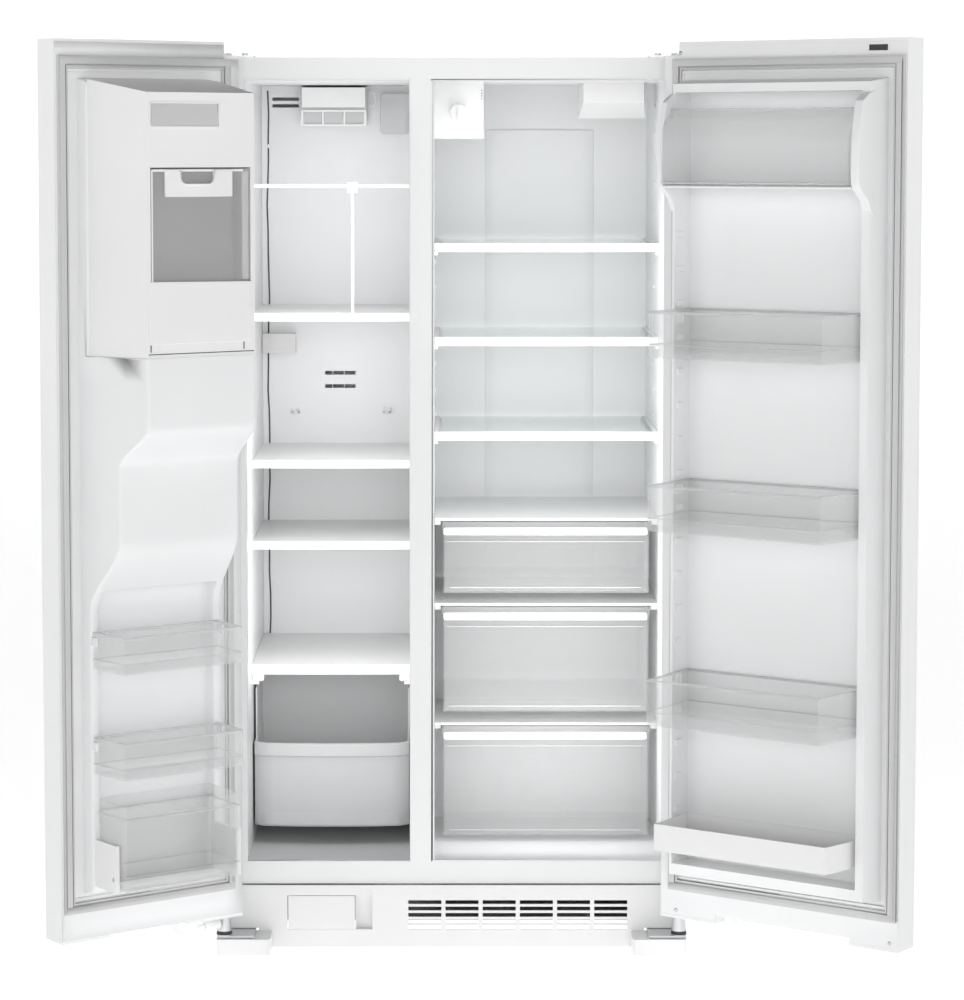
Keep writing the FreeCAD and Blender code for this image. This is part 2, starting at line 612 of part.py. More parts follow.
# ---------------------------------------------------------------------------------------------
# Freezer compartment
# ---------------------------------------------------------------------------------------------
def freezer_inside():
    inside = minus(FZ_OPEN, "liner_t")
    span = minus(inside, "shelf_clear")
    cover = box(minus(inside, "fit_gap"), ("cover_y", "cover_y + cover_t"),
                ("hump_top + liner_t + fit_gap", "open_high - liner_t - fit_gap"))
    holes = [box(("-373", "-318"), ("cover_y - 1", "cover_y + cover_t + 1"), (z, f"{z} + 7"))
             for z in ("1640", "1654")]
    holes += [box(("-265", "-200"), ("cover_y - 1", "cover_y + cover_t + 1"), (z, f"{z} + 8"))
              for z in ("1054", "1082")]
    piece("evaporator_cover", cut(cover, *holes))

    fins = [box((f"-370 + {i} * 24", f"-369 + {i} * 24"), ("cover_y + 12", "fz_back - liner_t - 6"),
                ("720", "1180")) for i in range(12)]
    tubes = [rod("x", "4", ("-378", "cover_y + 36", f"760 + {i} * 95"), "280") for i in range(5)]
    hangers = [box((f"{left}", f"{left} + 8"), ("cover_y + 30", "fz_back - liner_t"), ("755", "1145"))
               for left in ("-378", "-106")]
    piece("evaporator", fuse(*fins, *tubes, *hangers))

    lamp = wedge(("cover_y - 80", "cover_y"), ("-308", "-178"), ("1640", "1680"),
                 ("-311", "-174"), ("1602", "1684"))
    bars = [box((f"-300 + {i} * 42", f"-266 + {i} * 42"), ("cover_y - 81", "cover_y - 50"),
                ("1606", "1634")) for i in range(3)]
    piece("air_box", cut(lamp, *bars))

    bar = rod("x", "rail_r", (inside[0], "shelf_front + 20", "rail_z"), f"({inside[1]}) - ({inside[0]})")
    post = rod("z", "3", ("post_x", "shelf_front + 20", "fz_shelf_top"), "rail_z - fz_shelf_top")
    clip = box(("post_x - 10", "post_x + 10"), ("shelf_front + 12", "shelf_front + 28"),
               ("rail_z - 14", "rail_z + 7"))
    rail = fuse(bar, post, clip)

    shelves = []
    for level in ("fz_shelf_top", "fz_shelf_mid", "fz_shelf_low"):
        plate = box(span, ("shelf_front", "cover_y - fit_gap"), (f"{level} - shelf_t", level))
        lip = box(span, ("shelf_front - trim_t", "shelf_front + 1"), (f"{level} - trim_high", level))
        shelves.append(fuse(plate, lip, rail) if level == "fz_shelf_top" else fuse(plate, lip))
    piece("freezer_shelves", group(*shelves))

    roof = box(span, ("basket_front + 8", "cover_y - fit_gap"),
               ("fz_basket_roof - shelf_t", "fz_basket_roof"))
    lip = box(span, ("basket_front", "basket_front + 9"), ("fz_basket_roof - 20", "fz_basket_roof"))
    ledges = [box((low, high), ("basket_front + 8", "380"), ("basket_rim + 12", "fz_basket_roof - 3"))
              for low, high in ((inside[0], f"({inside[0]}) + 14"), (f"({inside[1]}) - 14", inside[1]))]
    piece("basket_shelf", fuse(roof, lip, *ledges))

    # basket on the compartment floor's two side rails
    side = minus(inside, "9")
    body = tray(side, ("basket_front", "hump_y - liner_t - 6"), ("basket_low", "basket_rim"), "drawer_t", "+z")
    scoop = box(minus(side, "-1"), ("basket_front - 1", "basket_front + 5"), ("basket_lip", "basket_rim + 1"))
    face = wedge(("basket_front - 12", "basket_front + 1"), minus(side, "8"),
                 ("basket_low + 22", "basket_lip - 12"), minus(side, "1"), ("basket_low", "basket_lip"))
    piece("freezer_basket", fuse(cut(body, scoop), face), "loose")


# ---------------------------------------------------------------------------------------------
# Fresh food compartment
# ---------------------------------------------------------------------------------------------
def fridge_inside():
    inside = minus(FR_OPEN, "liner_t")
    span = minus(inside, "shelf_clear")
    back = "fr_back - liner_t"
    roof = "open_high - liner_t"
    left = inside[0]

    control = box((left, f"({left}) + 97"), ("170", "330"), (f"{roof} - 111", roof))
    piece("control_box", rounded(control, "10", lambda e: is_along(e, "x") and e.BoundBox.ZMax < val(roof) - 50
                                 and e.BoundBox.YMax < 200))
    knob = fuse(rod("y", "knob_r", (f"({left}) + 48", "152", f"{roof} - 60"), "17.7"),
                box((f"({left}) + 46", f"({left}) + 50"), ("148", "153"), (f"{roof} - 74", f"{roof} - 46")))
    piece("temperature_knob", knob, "loose")

    duct = fuse(box(("70", "300"), (f"{back} - 22", back), ("lid_z_top + 20", "1593")),
                box(("118", "246"), (f"{back} - 32", f"{back} - 21"), ("lid_z_top + 60", "1560")))
    vents = [box(("140", "224"), (f"{back} - 33", f"{back} - 25"), (z, f"{z} + 9"))
             for z in ("960", "1150", "1330", "1510")]
    piece("duct_panel", cut(duct, *vents))

    fridge_lamp = wedge(("240", "330"), ("262", "382"), (f"{roof} - 40", roof),
                        ("255", "390"), (f"{roof} - 70", roof))
    freezer_lamp = box(("-394", "-325"), ("cover_y - 40", "cover_y - fit_gap"), ("1130", "1170"))
    piece("lamp_covers", group(fridge_lamp, freezer_lamp))

    plates, trims = [], []
    for level in ("glass_z_top", "glass_z_mid", "glass_z_low"):
        plates.append(box(minus(span, "8"), ("shelf_front + 6", f"{back} - 34"),
                          (f"{level} - shelf_t", level)))
        rim_z = (f"{level} - trim_high", f"{level} + 1")
        front = box(span, ("shelf_front - 4", "shelf_front + 10"), rim_z)
        rails = [box(side, ("shelf_front + 8", f"{back} - 34"), rim_z)
                 for side in ((span[0], f"({span[0]}) + 14"), (f"({span[1]}) - 14", span[1]))]
        pocket = box(minus(span, "8"), ("shelf_front + 6", f"{back} - 33"),
                     (f"{level} - shelf_t", f"{level} + 2"))
        trims.append(cut(fuse(front, *rails), pocket))
    piece("glass_shelves", group(*plates))
    piece("shelf_trims", group(*trims))

    lids, floors = [], (("lid_z_top", "drawer_low_top", "drawer_deep"),
                        ("lid_z_mid", "drawer_low_mid", "drawer_deep"),
                        ("lid_z_low", "drawer_low_low", "hump_y - liner_t - 8"))
    for name, (level, floor, rear) in zip(("upper", "middle", "lower"), floors):
        deep = f"{back} - 34" if name != "lower" else "hump_y - liner_t - 4"
        lids.append(fuse(
            box(span, ("drawer_front + 6", deep), (f"{level} - shelf_t", level)),
            *[box(side, ("drawer_front + 20", deep), (f"{level} - 14", f"{level} - shelf_t + 1"))
              for side in ((span[0], f"({span[0]}) + 12"), (f"({span[1]}) - 12", span[1]))]))
        side = minus(inside, "drawer_side")
        rim = f"{level} - shelf_t - 2"
        body = tray(side, ("drawer_front", rear), (floor, rim), "drawer_t", "+z")
        band = box(minus(side, "-2"), ("drawer_front - 9", "drawer_front + 1"), (f"{rim} - 16", rim))
        runners = [box(strip, ("drawer_front + 24", rear), (f"{rim} - 12", f"{rim} - 9"))
                   for strip in ((f"({side[0]}) - 5", f"({side[0]}) + 1"),
                                 (f"({side[1]}) - 1", f"({side[1]}) + 5"))]
        piece(f"{name}_drawer", fuse(body, band, *runners), "loose")
    piece("crisper_covers", group(*lids))


# ---------------------------------------------------------------------------------------------
# Doors: what both have
# ---------------------------------------------------------------------------------------------
def door_block(across, width, less, caps):
    """The door's own block, drawn in by less at its sides and by caps at its ends."""
    x = across(less, f"{width} - ({less})")
    block = box(x, inward(f"-door_thick + ({less})", "0"), (f"door_low + ({caps})", f"door_high - ({caps})"))
    notch = box(across(f"-1", f"notch_w + ({less})"), inward("-door_thick - 1", "1"),
                (f"door_high - notch_drop - ({caps})", "door_high + 1"))
    recess = box(across(f"foot_near - ({less})", f"{width} - foot_far + ({less})"),
                 inward("-door_thick - 1", "1"), ("door_low - 1", f"door_low + foot_rise + ({caps})"))
    return cut(block, notch, recess)


def inner_plate(across, width):
    """Flat sheet that closes the door's inner face from cap to cap."""
    block = door_block(across, width, "door_skin + fit_gap", "cap_t + fit_gap")
    return cut(block, box(across("-1", f"{width} + 1"), inward("-door_thick - 1", "-liner_t"),
                          ("door_low", "door_high")))


def pin_bores(sign, radius, extra):
    """Bores for the lower and upper hinge pins."""
    pivot = "-" + PIVOT_X if sign < 0 else PIVOT_X
    low = rod("z", radius, (pivot, PIVOT_Y, "door_low - 1"), f"pin_reach + 1 + {extra}")
    top = rod("z", radius, (pivot, PIVOT_Y, f"cab_top - pin_reach - {extra}"), f"pin_reach + {extra}")
    return [low, top]


def handle(name, across, width):
    """A bar handle: one outline padded sideways, with its edges rounded."""
    made = doc.addObject("PartDesign::Body", name)
    side = made.newObject("Sketcher::SketchObject", name + "_side")
    attach(side, made, "YZ_Plane")
    reach, bar, foot = val("grip_off"), val("grip_t"), val("grip_foot")
    tall = val("grip_high - grip_low")
    lean = 14.0
    polygon(side, ((0, 0), (0, foot), (-reach + bar + lean, foot), (-reach + bar, foot + lean),
                   (-reach + bar, tall - foot - lean), (-reach + bar + lean, tall - foot),
                   (0, tall - foot), (0, tall), (-reach + lean, tall), (-reach, tall - lean),
                   (-reach, lean), (-reach + lean, 0)))
    pad = made.newObject("PartDesign::Pad", name + "_pad")
    pad.Profile = side
    pad.Length = val("grip_w")
    pad.setExpression("Length", "dims.grip_w")
    pad.Midplane = True
    doc.recompute()
    edges = [f"Edge{i}" for i, edge in enumerate(pad.Shape.Edges, start=1)
             if edge.BoundBox.XLength < 1e-6 and edge.BoundBox.YMin < -1]
    round_off = made.newObject("PartDesign::Fillet", name + "_round")
    round_off.Base = (pad, edges)
    round_off.Radius = val("grip_round")
    middle = across(f"{width} - grip_edge", f"{width} - grip_edge")[0]
    made.Placement.Base = Vector(val(middle), val("-door_gap - door_thick"), val("grip_low"))
    return group(made)


def gasket(across, width, place, name):
    """Magnetic gasket: a ring of hollow section round the raised liner."""
    x = across("gasket_near", f"{width} - gasket_far")
    z = ("gasket_low", "gasket_high")
    deep = inward("0", "door_gap - gasket_clear")
    ring = cut(box(x, deep, z), box(minus(x, "gasket_w"), inward("-1", "door_gap + 1"), minus(z, "gasket_w")))
    piece(name, ring, place)


def stop_bracket(across):
    """Steel door stop hanging under the door beside its hinge."""
    hang = box(across("foot_near + 1", "foot_near + 19"), inward("-30", "-28"),
               ("door_low - 22", "door_low + foot_rise + 1"))
    side = box(across("foot_near + 17", "foot_near + 19"), inward("-52", "-28"),
               ("door_low - 8", "door_low + foot_rise + 1"))
    return [hang, side]


# ---------------------------------------------------------------------------------------------
# Freezer door
# ---------------------------------------------------------------------------------------------
def taper_x(width, at, less):
    """Raised liner's bounds along the door at a height above the door's inner plane."""
    near = f"dyke_near + draft_near * ({at}) / top_in + ({less})"
    far = f"{width} - dyke_far - draft_far * ({at}) / top_in - ({less})"
    return fz(near, far)


def raised_liner(less):
    """Freezer door's raised liner: low rim, middle step and deep step, drawn in by less."""
    w = FZ_W
    low = wedge(inward(f"-liner_t - ({less}) / 2", f"dyke_in - ({less})"),
                taper_x(w, "0", less), (f"dyke_low + ({less})", f"dyke_high - ({less})"),
                taper_x(w, "dyke_in", less), (f"dyke_low + 5 + ({less})", f"dyke_high - 6 - ({less})"))
    mid = wedge(inward(f"dyke_in - ({less}) - 0.1", f"mid_in - ({less})"),
                taper_x(w, "dyke_in", less), (f"mid_low + ({less})", f"ice_low - ({less})"),
                taper_x(w, "mid_in", less), (f"mid_flat + ({less})", f"ice_low - ({less})"))
    deep = wedge(inward(f"mid_in - ({less}) - 0.1", f"top_in - ({less})"),
                 taper_x(w, "mid_in", less), (f"top_low + ({less})", f"ice_low - ({less})"),
                 taper_x(w, "top_in", less), (f"top_flat + ({less})", f"ice_low - ({less})"))
    pan_x = fz(f"dyke_near + dyke_rim - ({less})", f"{w} - dyke_far - dyke_rim + ({less})")
    pan = box(pan_x, inward(f"liner_t - ({less})", "dyke_in + 1"),
              (f"dyke_low + dyke_rim - ({less})", f"mid_low - 20 + ({less})"))
    return cut(fuse(low, mid, deep), pan)


def freezer_door():
    w = FZ_W
    door = "freezer door"
    recess = box(fz("disp_near", "disp_near + disp_w"), inward("-door_thick - 5", "disp_in"),
                 ("disp_low", "disp_high"))
    hood = box(fz("disp_near + disp_w/2 - 26", "disp_near + disp_w/2 + 26"), inward("disp_in - 15", "110"),
               ("disp_high - 50", "disp_high"))
    chute = rod("z", "chute_r", (f"-cab_w/2 + disp_near + disp_w/2", "-door_gap + 84", "disp_high - 5"),
                "ice_pocket_low - disp_high + 10")

    skin = cut(door_block(fz, w, "0", "0"), door_block(fz, w, "door_skin", "cap_t"))
    skin = cut(skin, box(fz("door_skin", f"{w} - door_skin"), inward("-liner_t - 0.01", "1"),
                         ("door_low + cap_t", "door_high - notch_drop - cap_t")), recess,
               *pin_bores(-1, "pin_r + pin_clear", "1"))
    piece("freezer_door_skin", fuse(skin, *stop_bracket(fz)), door)

    plate = inner_plate(fz, w)
    shell = cut(fuse(raised_liner("0"), plate), raised_liner("liner_t"), recess, hood, chute)
    bin_w = ("dyke_near + dyke_rim + 2", f"{w} - dyke_far - dyke_rim - 2")
    piece("freezer_door_liner", shell, door)

    brackets = []
    for low, high in (("dyke_near + 6", f"{bin_w[0]} - fit_gap - 1"),
                      (f"{bin_w[1]} + fit_gap + 1", f"{w} - dyke_far - 9")):
        block = box(fz(low, high), inward("dyke_in", "bracket_in"), ("tilt_low - 4", "bracket_high"))
        bore = rod("x", "tilt_pin_r + pin_clear",
                   (fz(low, low)[0] + " - 1", "-door_gap + tilt_pin_in", "tilt_pin_z"), f"({high}) - ({low}) + 2")
        brackets.append(cut(block, bore))
    piece("tilt_brackets", group(*brackets), door)

    core = cut(door_block(fz, w, "door_skin", "cap_t"),
               box(fz("0", w), inward("-liner_t", "1"), ("door_low", "door_high")))
    foam = cut(fuse(core, raised_liner("liner_t")), recess, hood, chute, *pin_bores(-1, "pin_r + 2", "3"))
    piece("freezer_door_foam", foam, door)

    gasket(fz, w, door, "freezer_gasket")
    piece("freezer_handle", handle("freezer_grip", fz, w), door)

    # dispenser recess lining with its outer trim
    lining = tray(fz("disp_near + fit_gap", "disp_near + disp_w - fit_gap"),
                  inward("-door_thick", "disp_in - fit_gap"),
                  ("disp_low + fit_gap", "disp_high - fit_gap"), "2.5", "-y")
    trim = box(fz("disp_near - bezel_w", "disp_near + disp_w + bezel_w"),
               inward("-door_thick - bezel_t", "-door_thick"), ("disp_low - bezel_w", "disp_high + 90"))
    gap = box(fz("disp_near + 3", "disp_near + disp_w - 3"), inward("-door_thick - bezel_t - 1", "-door_thick + 1"),
              ("disp_low + 3", "disp_high - 3"))
    outlet = box(fz("disp_near + disp_w/2 - 24", "disp_near + disp_w/2 + 24"), inward("disp_in - 60", "disp_in + 1"),
                 ("disp_high - 48", "disp_high + 1"))
    drip = [box(fz(f"disp_near + 20 + {i} * 15", f"disp_near + 27 + {i} * 15"), inward("-door_thick + 12", "20"),
                ("disp_low + 10", "disp_low + 14")) for i in range(11)]
    shelf = cut(box(fz("disp_near + 2", "disp_near + disp_w - 2"), inward("-door_thick + 2", "disp_in - 1"),
                    ("disp_low + 10", "disp_low + 13")), *drip)
    lining = cut(fuse(lining, cut(trim, gap)), box(outlet_x(), inward("disp_in - 4", "disp_in + 1"),
                                                   ("disp_high - 48", "disp_high - 4")))
    ears = [box(fz(low, f"{low} + 4"), inward("-12", "8"), ("disp_high - 60", "disp_high - 2"))
            for low in ("disp_near + disp_w/2 - 36", "disp_near + disp_w/2 + 32")]
    ear_bores = rod("x", "3 + pin_clear", (fz("disp_near", "0")[0], "-door_gap - 2", "disp_high - 50"), "disp_w")
    ears = cut(group(*ears), ear_bores)
    piece("dispenser_housing", fuse(lining, shelf, ears), door)

    paddle = fuse(box(fz("disp_near + disp_w/2 - 30", "disp_near + disp_w/2 + 30"), inward("-4", "0"),
                      ("disp_low + 90", "disp_high - 44")),
                  rod("x", "3", (fz("disp_near + disp_w/2 - 36", "0")[0], "-door_gap - 2", "disp_high - 50"), "72"))
    piece("dispenser_lever", paddle, door)

    # ice module: a drafted casing with a pocket for the bin and a space for the ice maker
    casing = wedge(inward("dyke_in", "top_in"), taper_x(w, "dyke_in", "0"), ("ice_low", "ice_top"),
                   taper_x(w, "top_in", "0"), ("ice_low", "ice_brow"))
    pocket_x = fz("dyke_near + draft_near + 8", f"{w} - dyke_far - draft_far - 7")
    pocket = box(pocket_x, inward("58", "top_in + 5"), ("ice_pocket_low", "ice_pocket_high"))
    maker_room = box(minus(pocket_x, "6"), inward("dyke_in + 6", "top_in - 10"),
                     ("ice_pocket_high + 14", "ice_brow - 12"))
    window = box(minus(pocket_x, "20"), inward("60", "top_in - 30"), ("ice_pocket_high - 1", "ice_pocket_high + 15"))
    vents = [box(fz(f"130 + {i} * 10", f"134 + {i} * 10"), inward("top_in - 11", "top_in + 1"),
                 ("ice_brow - 40", "ice_brow - 20")) for i in range(12)]
    chute_top = rod("z", "chute_r", ("-cab_w/2 + disp_near + disp_w/2", "-door_gap + 84", "ice_low - 1"), "40")
    piece("ice_housing", cut(casing, pocket, maker_room, window, chute_top, *vents), door)

    maker = cut(box(minus(pocket_x, "14"), inward("dyke_in + 14", "top_in - 40"),
                    ("ice_pocket_high + 14", "ice_brow - 40")),
                *[box(fz(f"100 + {i} * 22", f"117 + {i} * 22"), inward("60", "top_in - 48"),
                      ("ice_brow - 70", "ice_brow")) for i in range(8)])
    piece("ice_maker", maker, door)

    bin_x = minus(pocket_x, "fit_gap + 1")
    bucket = tray(bin_x, inward("60", "top_in - 2"), ("ice_pocket_low + fit_gap", "ice_pocket_high - 2"),
                  "ice_bin_t", "+z")
    mouth = rod("z", "chute_r", ("-cab_w/2 + disp_near + disp_w/2", "-door_gap + 84", "ice_pocket_low - 1"), "8")
    piece("ice_bin", cut(bucket, mouth), door)

    bins = []
    for low in ("403", "598"):
        bins.append(door_bin(fz, ("dyke_near + 4", f"{w} - dyke_far - 8"),
                             ("dyke_near + 12", f"{w} - dyke_far - 18"),
                             ("dyke_in + fit_gap", "fz_bin_in"), low, "fz_bin_high"))
    piece("freezer_door_bins", group(*bins), door)

    tilt = door_bin(fz, bin_w, (f"{bin_w[0]} + 3", f"{bin_w[1]} - 3"), ("9", "fz_bin_in"),
                    "tilt_low", "tilt_high - tilt_low")
    notch = box(fz("150", "222"), inward("fz_bin_in - 6", "fz_bin_in + 2"), ("tilt_high - 16", "tilt_high + 30"))
    pins = [rod("x", "tilt_pin_r", (fz(start, "0")[0], "-door_gap + tilt_pin_in", "tilt_pin_z"), "13")
            for start in (f"{bin_w[0]} - 9", f"{bin_w[1]} - 4")]
    piece("tilt_bin", fuse(cut(tilt, notch), *pins), door)


def outlet_x():
    """Bounds of the ice outlet in the dispenser's lining."""
    return fz("disp_near + disp_w/2 - 24", "disp_near + disp_w/2 + 24")


def door_bin(across, back_w, front_w, reach, low, high):
    """A drafted open-topped bin on a door."""
    wall = "bin_t"
    outer = wedge(inward(*reach), across(*back_w), (low, f"({low}) + ({high})"),
                  across(*front_w), (low, f"({low}) + ({high})"))
    inner = wedge(inward(f"{reach[0]} + {wall}", f"{reach[1]} - {wall}"),
                  across(f"{back_w[0]} + {wall}", f"{back_w[1]} - {wall}"),
                  (f"({low}) + {wall}", f"({low}) + ({high}) + 1"),
                  across(f"{front_w[0]} + {wall}", f"{front_w[1]} - {wall}"),
                  (f"({low}) + {wall}", f"({low}) + ({high}) + 1"))
    return cut(outer, inner)


# ---------------------------------------------------------------------------------------------
# Fresh food door
# ---------------------------------------------------------------------------------------------
def ribbed_liner(less):
    """Fresh food door's raised liner: side ribs, sill and dairy floor, drawn in by less."""
    w = FR_W
    near = f"rib_near + ({less})"
    far = f"{w} - rib_far - ({less})"
    block = wedge(inward(f"-liner_t - ({less}) / 2", f"rib_in - ({less})"),
                  fr(near, far), (f"dyke_low + ({less})", f"dyke_high - ({less})"),
                  fr(f"{near} + rib_draft", f"{far} - rib_draft"),
                  (f"dyke_low + 8 + ({less})", f"dyke_high - 8 - ({less})"))
    pan = box(fr(f"rib_near + rib_near_w - ({less})", f"{w} - rib_far - rib_w + ({less})"),
              inward(f"liner_t - ({less})", "rib_in + 1"),
              (f"sill_high - ({less})", f"dyke_high - 24 + ({less})"))
    return cut(block, pan)


def fridge_door():
    w = FR_W
    door = "fridge door"
    skin = cut(door_block(fr, w, "0", "0"), door_block(fr, w, "door_skin", "cap_t"))
    skin = cut(skin, box(fr("door_skin", f"{w} - door_skin"), inward("-liner_t - 0.01", "1"),
                         ("door_low + cap_t", "door_high - notch_drop - cap_t")),
               *pin_bores(1, "pin_r + pin_clear", "1"))
    piece("fridge_door_skin", fuse(skin, *stop_bracket(fr)), door)

    plate = inner_plate(fr, w)
    clear_x = (f"rib_near + rib_near_w", f"{w} - rib_far - rib_w")
    floor = box(minus(fr(*clear_x), "fit_gap"), inward("liner_t", "dairy_in - 8"), ("dairy_low - 4", "dairy_low"))
    cheeks = [box(fr(low, high), inward("rib_in", "rib_in + 34"), ("dairy_low - 4", "dairy_high + 20"))
              for low, high in (("rib_near + rib_draft", "rib_near + rib_near_w"),
                                (f"{w} - rib_far - rib_w", f"{w} - rib_far - rib_draft"))]
    pin_low = "rib_near + rib_near_w - 7"
    pin_bore = rod("x", "3 + pin_clear", (fr("0", f"{w} - rib_far - rib_w + 7")[0], "-door_gap + dairy_pin_in",
                   "dairy_high - 12"), f"{w} - rib_far - rib_w + 7 - ({pin_low})")
    shell = cut(fuse(ribbed_liner("0"), plate), ribbed_liner("liner_t"))
    piece("fridge_door_liner", shell, door)
    shelf = fuse(floor, *cheeks, box(fr(*clear_x), inward("rib_in", "dairy_in - 8"), ("dairy_low - 4", "dairy_low")))
    piece("dairy_shelf", cut(shelf, pin_bore), door)

    core = cut(door_block(fr, w, "door_skin", "cap_t"),
               box(fr("0", w), inward("-liner_t", "1"), ("door_low", "door_high")))
    piece("fridge_door_foam", cut(fuse(core, ribbed_liner("liner_t")), *pin_bores(1, "pin_r + 2", "3")), door)
    gasket(fr, w, door, "fridge_gasket")
    piece("fridge_handle", handle("fridge_grip", fr, w), door)

    # dairy lid: a bowed shell that turns on two end pins
    inset = minus(fr(*clear_x), "fit_gap + 0.7")
    left, right = val(inset[0]), val(inset[1])
    pin_y, pin_z = val("-door_gap + dairy_pin_in"), val("dairy_high - 12")
    low_z, thick = val("dairy_low") + 3, val("lid_t")
    front_y = val("-door_gap + dairy_in")

    def bow(less):
        """Edges of the lid's section: down the front, then over to the pins."""
        foot = Vector(left, front_y - 3 - less, low_z)
        waist = Vector(left, front_y - less, low_z + 66)
        shoulder = Vector(left, front_y - 13 - less, low_z + 112 - less / 2)
        crest = Vector(left, pin_y - 5, pin_z + 8 - less)
        return foot, waist, shoulder, crest

    outer, inner = bow(0), bow(thick)
    section = Part.Wire([
        Part.makeLine(outer[0], outer[1]),
        Part.Arc(outer[1], outer[2], outer[3]).toShape(),
        Part.makeLine(outer[3], inner[3]),
        Part.Arc(inner[3], inner[2], inner[1]).toShape(),
        Part.makeLine(inner[1], inner[0]),
        Part.makeLine(inner[0], outer[0]),
    ])
    lid = Part.Face(section).extrude(Vector(right - left, 0, 0))
    for edge, pin_end in ((left, left - 5.5), (right - thick, right - 0.5)):
        lid = lid.fuse(Part.makeCylinder(9, thick, Vector(edge, pin_y, pin_z), AXES["x"]))
        lid = lid.fuse(Part.makeCylinder(3, 6, Vector(pin_end, pin_y, pin_z), AXES["x"]))
    piece("dairy_lid", feature(lid.removeSplitter()), door)

    bin_back = (f"{clear_x[0]} + fit_gap", f"{clear_x[1]} - fit_gap")
    bin_front = (f"{clear_x[0]} + 4", f"{clear_x[1]} - 24")
    bins = [door_bin(fr, bin_back, bin_front, ("liner_t + fit_gap", "fr_bin_in"), low, "fr_bin_high")
            for low in ("484", "847", "1169")]
    piece("fridge_door_bins", group(*bins), door)
    tub = door_bin(fr, bin_back, bin_front, ("liner_t + fit_gap", "tub_in"), "243", "50")
    piece("bottom_bin", tub, door)


# ---------------------------------------------------------------------------------------------
# Build, place, check and write
# ---------------------------------------------------------------------------------------------
def door_swing(sign, angle):
    """Placement that swings a door open about its hinge pins."""
    centre = Vector(sign * val(PIVOT_X), val(PIVOT_Y), 0)
    return FreeCAD.Placement(Vector(), FreeCAD.Rotation(AXES["z"], sign * val(angle)), centre)


def failed(obj):
    """True where an object of the document did not build."""
    return "Invalid" in obj.State or "Error" in obj.State


cabinet()
machine_compartment()
base()
rollers()
freezer_inside()
fridge_inside()
freezer_door()
fridge_door()
doc.recompute()

swing = {
    "cabinet": FreeCAD.Placement(),
    "loose": FreeCAD.Placement(),
    "freezer door": door_swing(-1, "fz_angle"),
    "fridge door": door_swing(1, "fr_angle"),
}
for made, place in pieces.values():
    made.Placement = swing[place].multiply(made.Placement)
doc.recompute()

bad = [obj.Name for obj in doc.Objects if failed(obj)]
for label, (made, _) in pieces.items():
    if made.Shape.isNull() or not made.Shape.isValid() or not made.Shape.Solids:
        bad.append(label)
if bad:
    raise RuntimeError("these did not build: " + ", ".join(bad))

whole = FreeCAD.BoundBox()
for made, _ in pieces.values():
    whole.add(made.Shape.optimalBoundingBox(False, False))
shift = Vector(-whole.Center.x, -whole.Center.y, -whole.ZMin)
for made, _ in pieces.values():
    made.Placement.Base = made.Placement.Base + shift
doc.recompute()

os.makedirs("parts", exist_ok=True)
for label, (made, _) in pieces.items():
    made.Shape.exportStep(os.path.join("parts", label + ".step"))
print(len(pieces), "pieces; origin moved by", [round(c, 4) for c in shift])
print("overall", round(whole.XLength, 2), round(whole.YLength, 2), round(whole.ZLength, 2))
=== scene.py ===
"""Looks of the side by side refrigerator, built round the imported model."""
import math

import bmesh
import bpy
from mathutils import Matrix, Vector


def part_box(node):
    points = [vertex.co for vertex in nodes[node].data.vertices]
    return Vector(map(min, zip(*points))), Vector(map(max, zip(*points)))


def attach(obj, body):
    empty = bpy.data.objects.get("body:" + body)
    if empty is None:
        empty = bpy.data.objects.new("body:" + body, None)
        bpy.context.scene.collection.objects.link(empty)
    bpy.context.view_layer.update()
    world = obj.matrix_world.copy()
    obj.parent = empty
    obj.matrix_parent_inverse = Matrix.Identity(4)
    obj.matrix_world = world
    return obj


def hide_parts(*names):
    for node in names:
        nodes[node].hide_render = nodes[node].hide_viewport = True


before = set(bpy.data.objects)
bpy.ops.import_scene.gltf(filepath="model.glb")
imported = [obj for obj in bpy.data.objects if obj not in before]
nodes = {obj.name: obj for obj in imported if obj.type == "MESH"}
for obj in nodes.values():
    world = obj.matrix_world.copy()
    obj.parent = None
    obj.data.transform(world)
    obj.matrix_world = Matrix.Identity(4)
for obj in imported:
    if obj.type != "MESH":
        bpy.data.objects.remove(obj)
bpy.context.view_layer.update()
shell_low, shell_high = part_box("cabinet_shell")
MM = 0.001

# ---------------------------------------------------------------------------------------------
# Places: millimetres in the cabinet's own frame (X from its middle, Y back from its front plane)
# ---------------------------------------------------------------------------------------------
ORIGIN = Vector(((shell_low.x + shell_high.x) / 2, shell_low.y, 0))
CAB_W = 908.0
PIVOT_X, PIVOT_Y = 439.0, -53.0   # hinge pivots, either side of the middle
DOOR_Y = -10.0                    # inner plane of the closed doors
W_FZ, W_FR = 394.0, 508.0         # door widths
OPEN = {"freezer_door": -144.0, "fridge_door": 145.0}   # degrees each door stands open at rest
SEAL_LOW, SEAL_HIGH = 140.0, 1722.0   # bottom and top of both door seals
ICE_DEPTH = 170.0                 # ice module's face, inward from the door's inner plane
BASKET_X, BASKET_HALF, BASKET_BACK = -238.0, 154.0, 390.0   # basket's middle, half width and back
FREEZER_BACK = 556.0              # face of the cover at the back of the freezer compartment
DRAWER_FRONT = 170.5              # where the ribs stand on the drawers' fronts
DOOR_FACE = -76.0                 # dispenser's face on the outside of the freezer door
BACK_FACE = 717.8                 # cabinet's back panel


def cabinet_matrix():
    """From cabinet millimetres to the scene."""
    return Matrix.Translation(ORIGIN) @ Matrix.Scale(MM, 4)


def door_matrix(door):
    """From the closed door, in cabinet millimetres, to the door at rest."""
    pivot = Vector((-PIVOT_X if door == "freezer_door" else PIVOT_X, PIVOT_Y, 0))
    turn = Matrix.Rotation(math.radians(OPEN[door]), 4, "Z")
    return cabinet_matrix() @ Matrix.Translation(pivot) @ turn @ Matrix.Translation(-pivot)


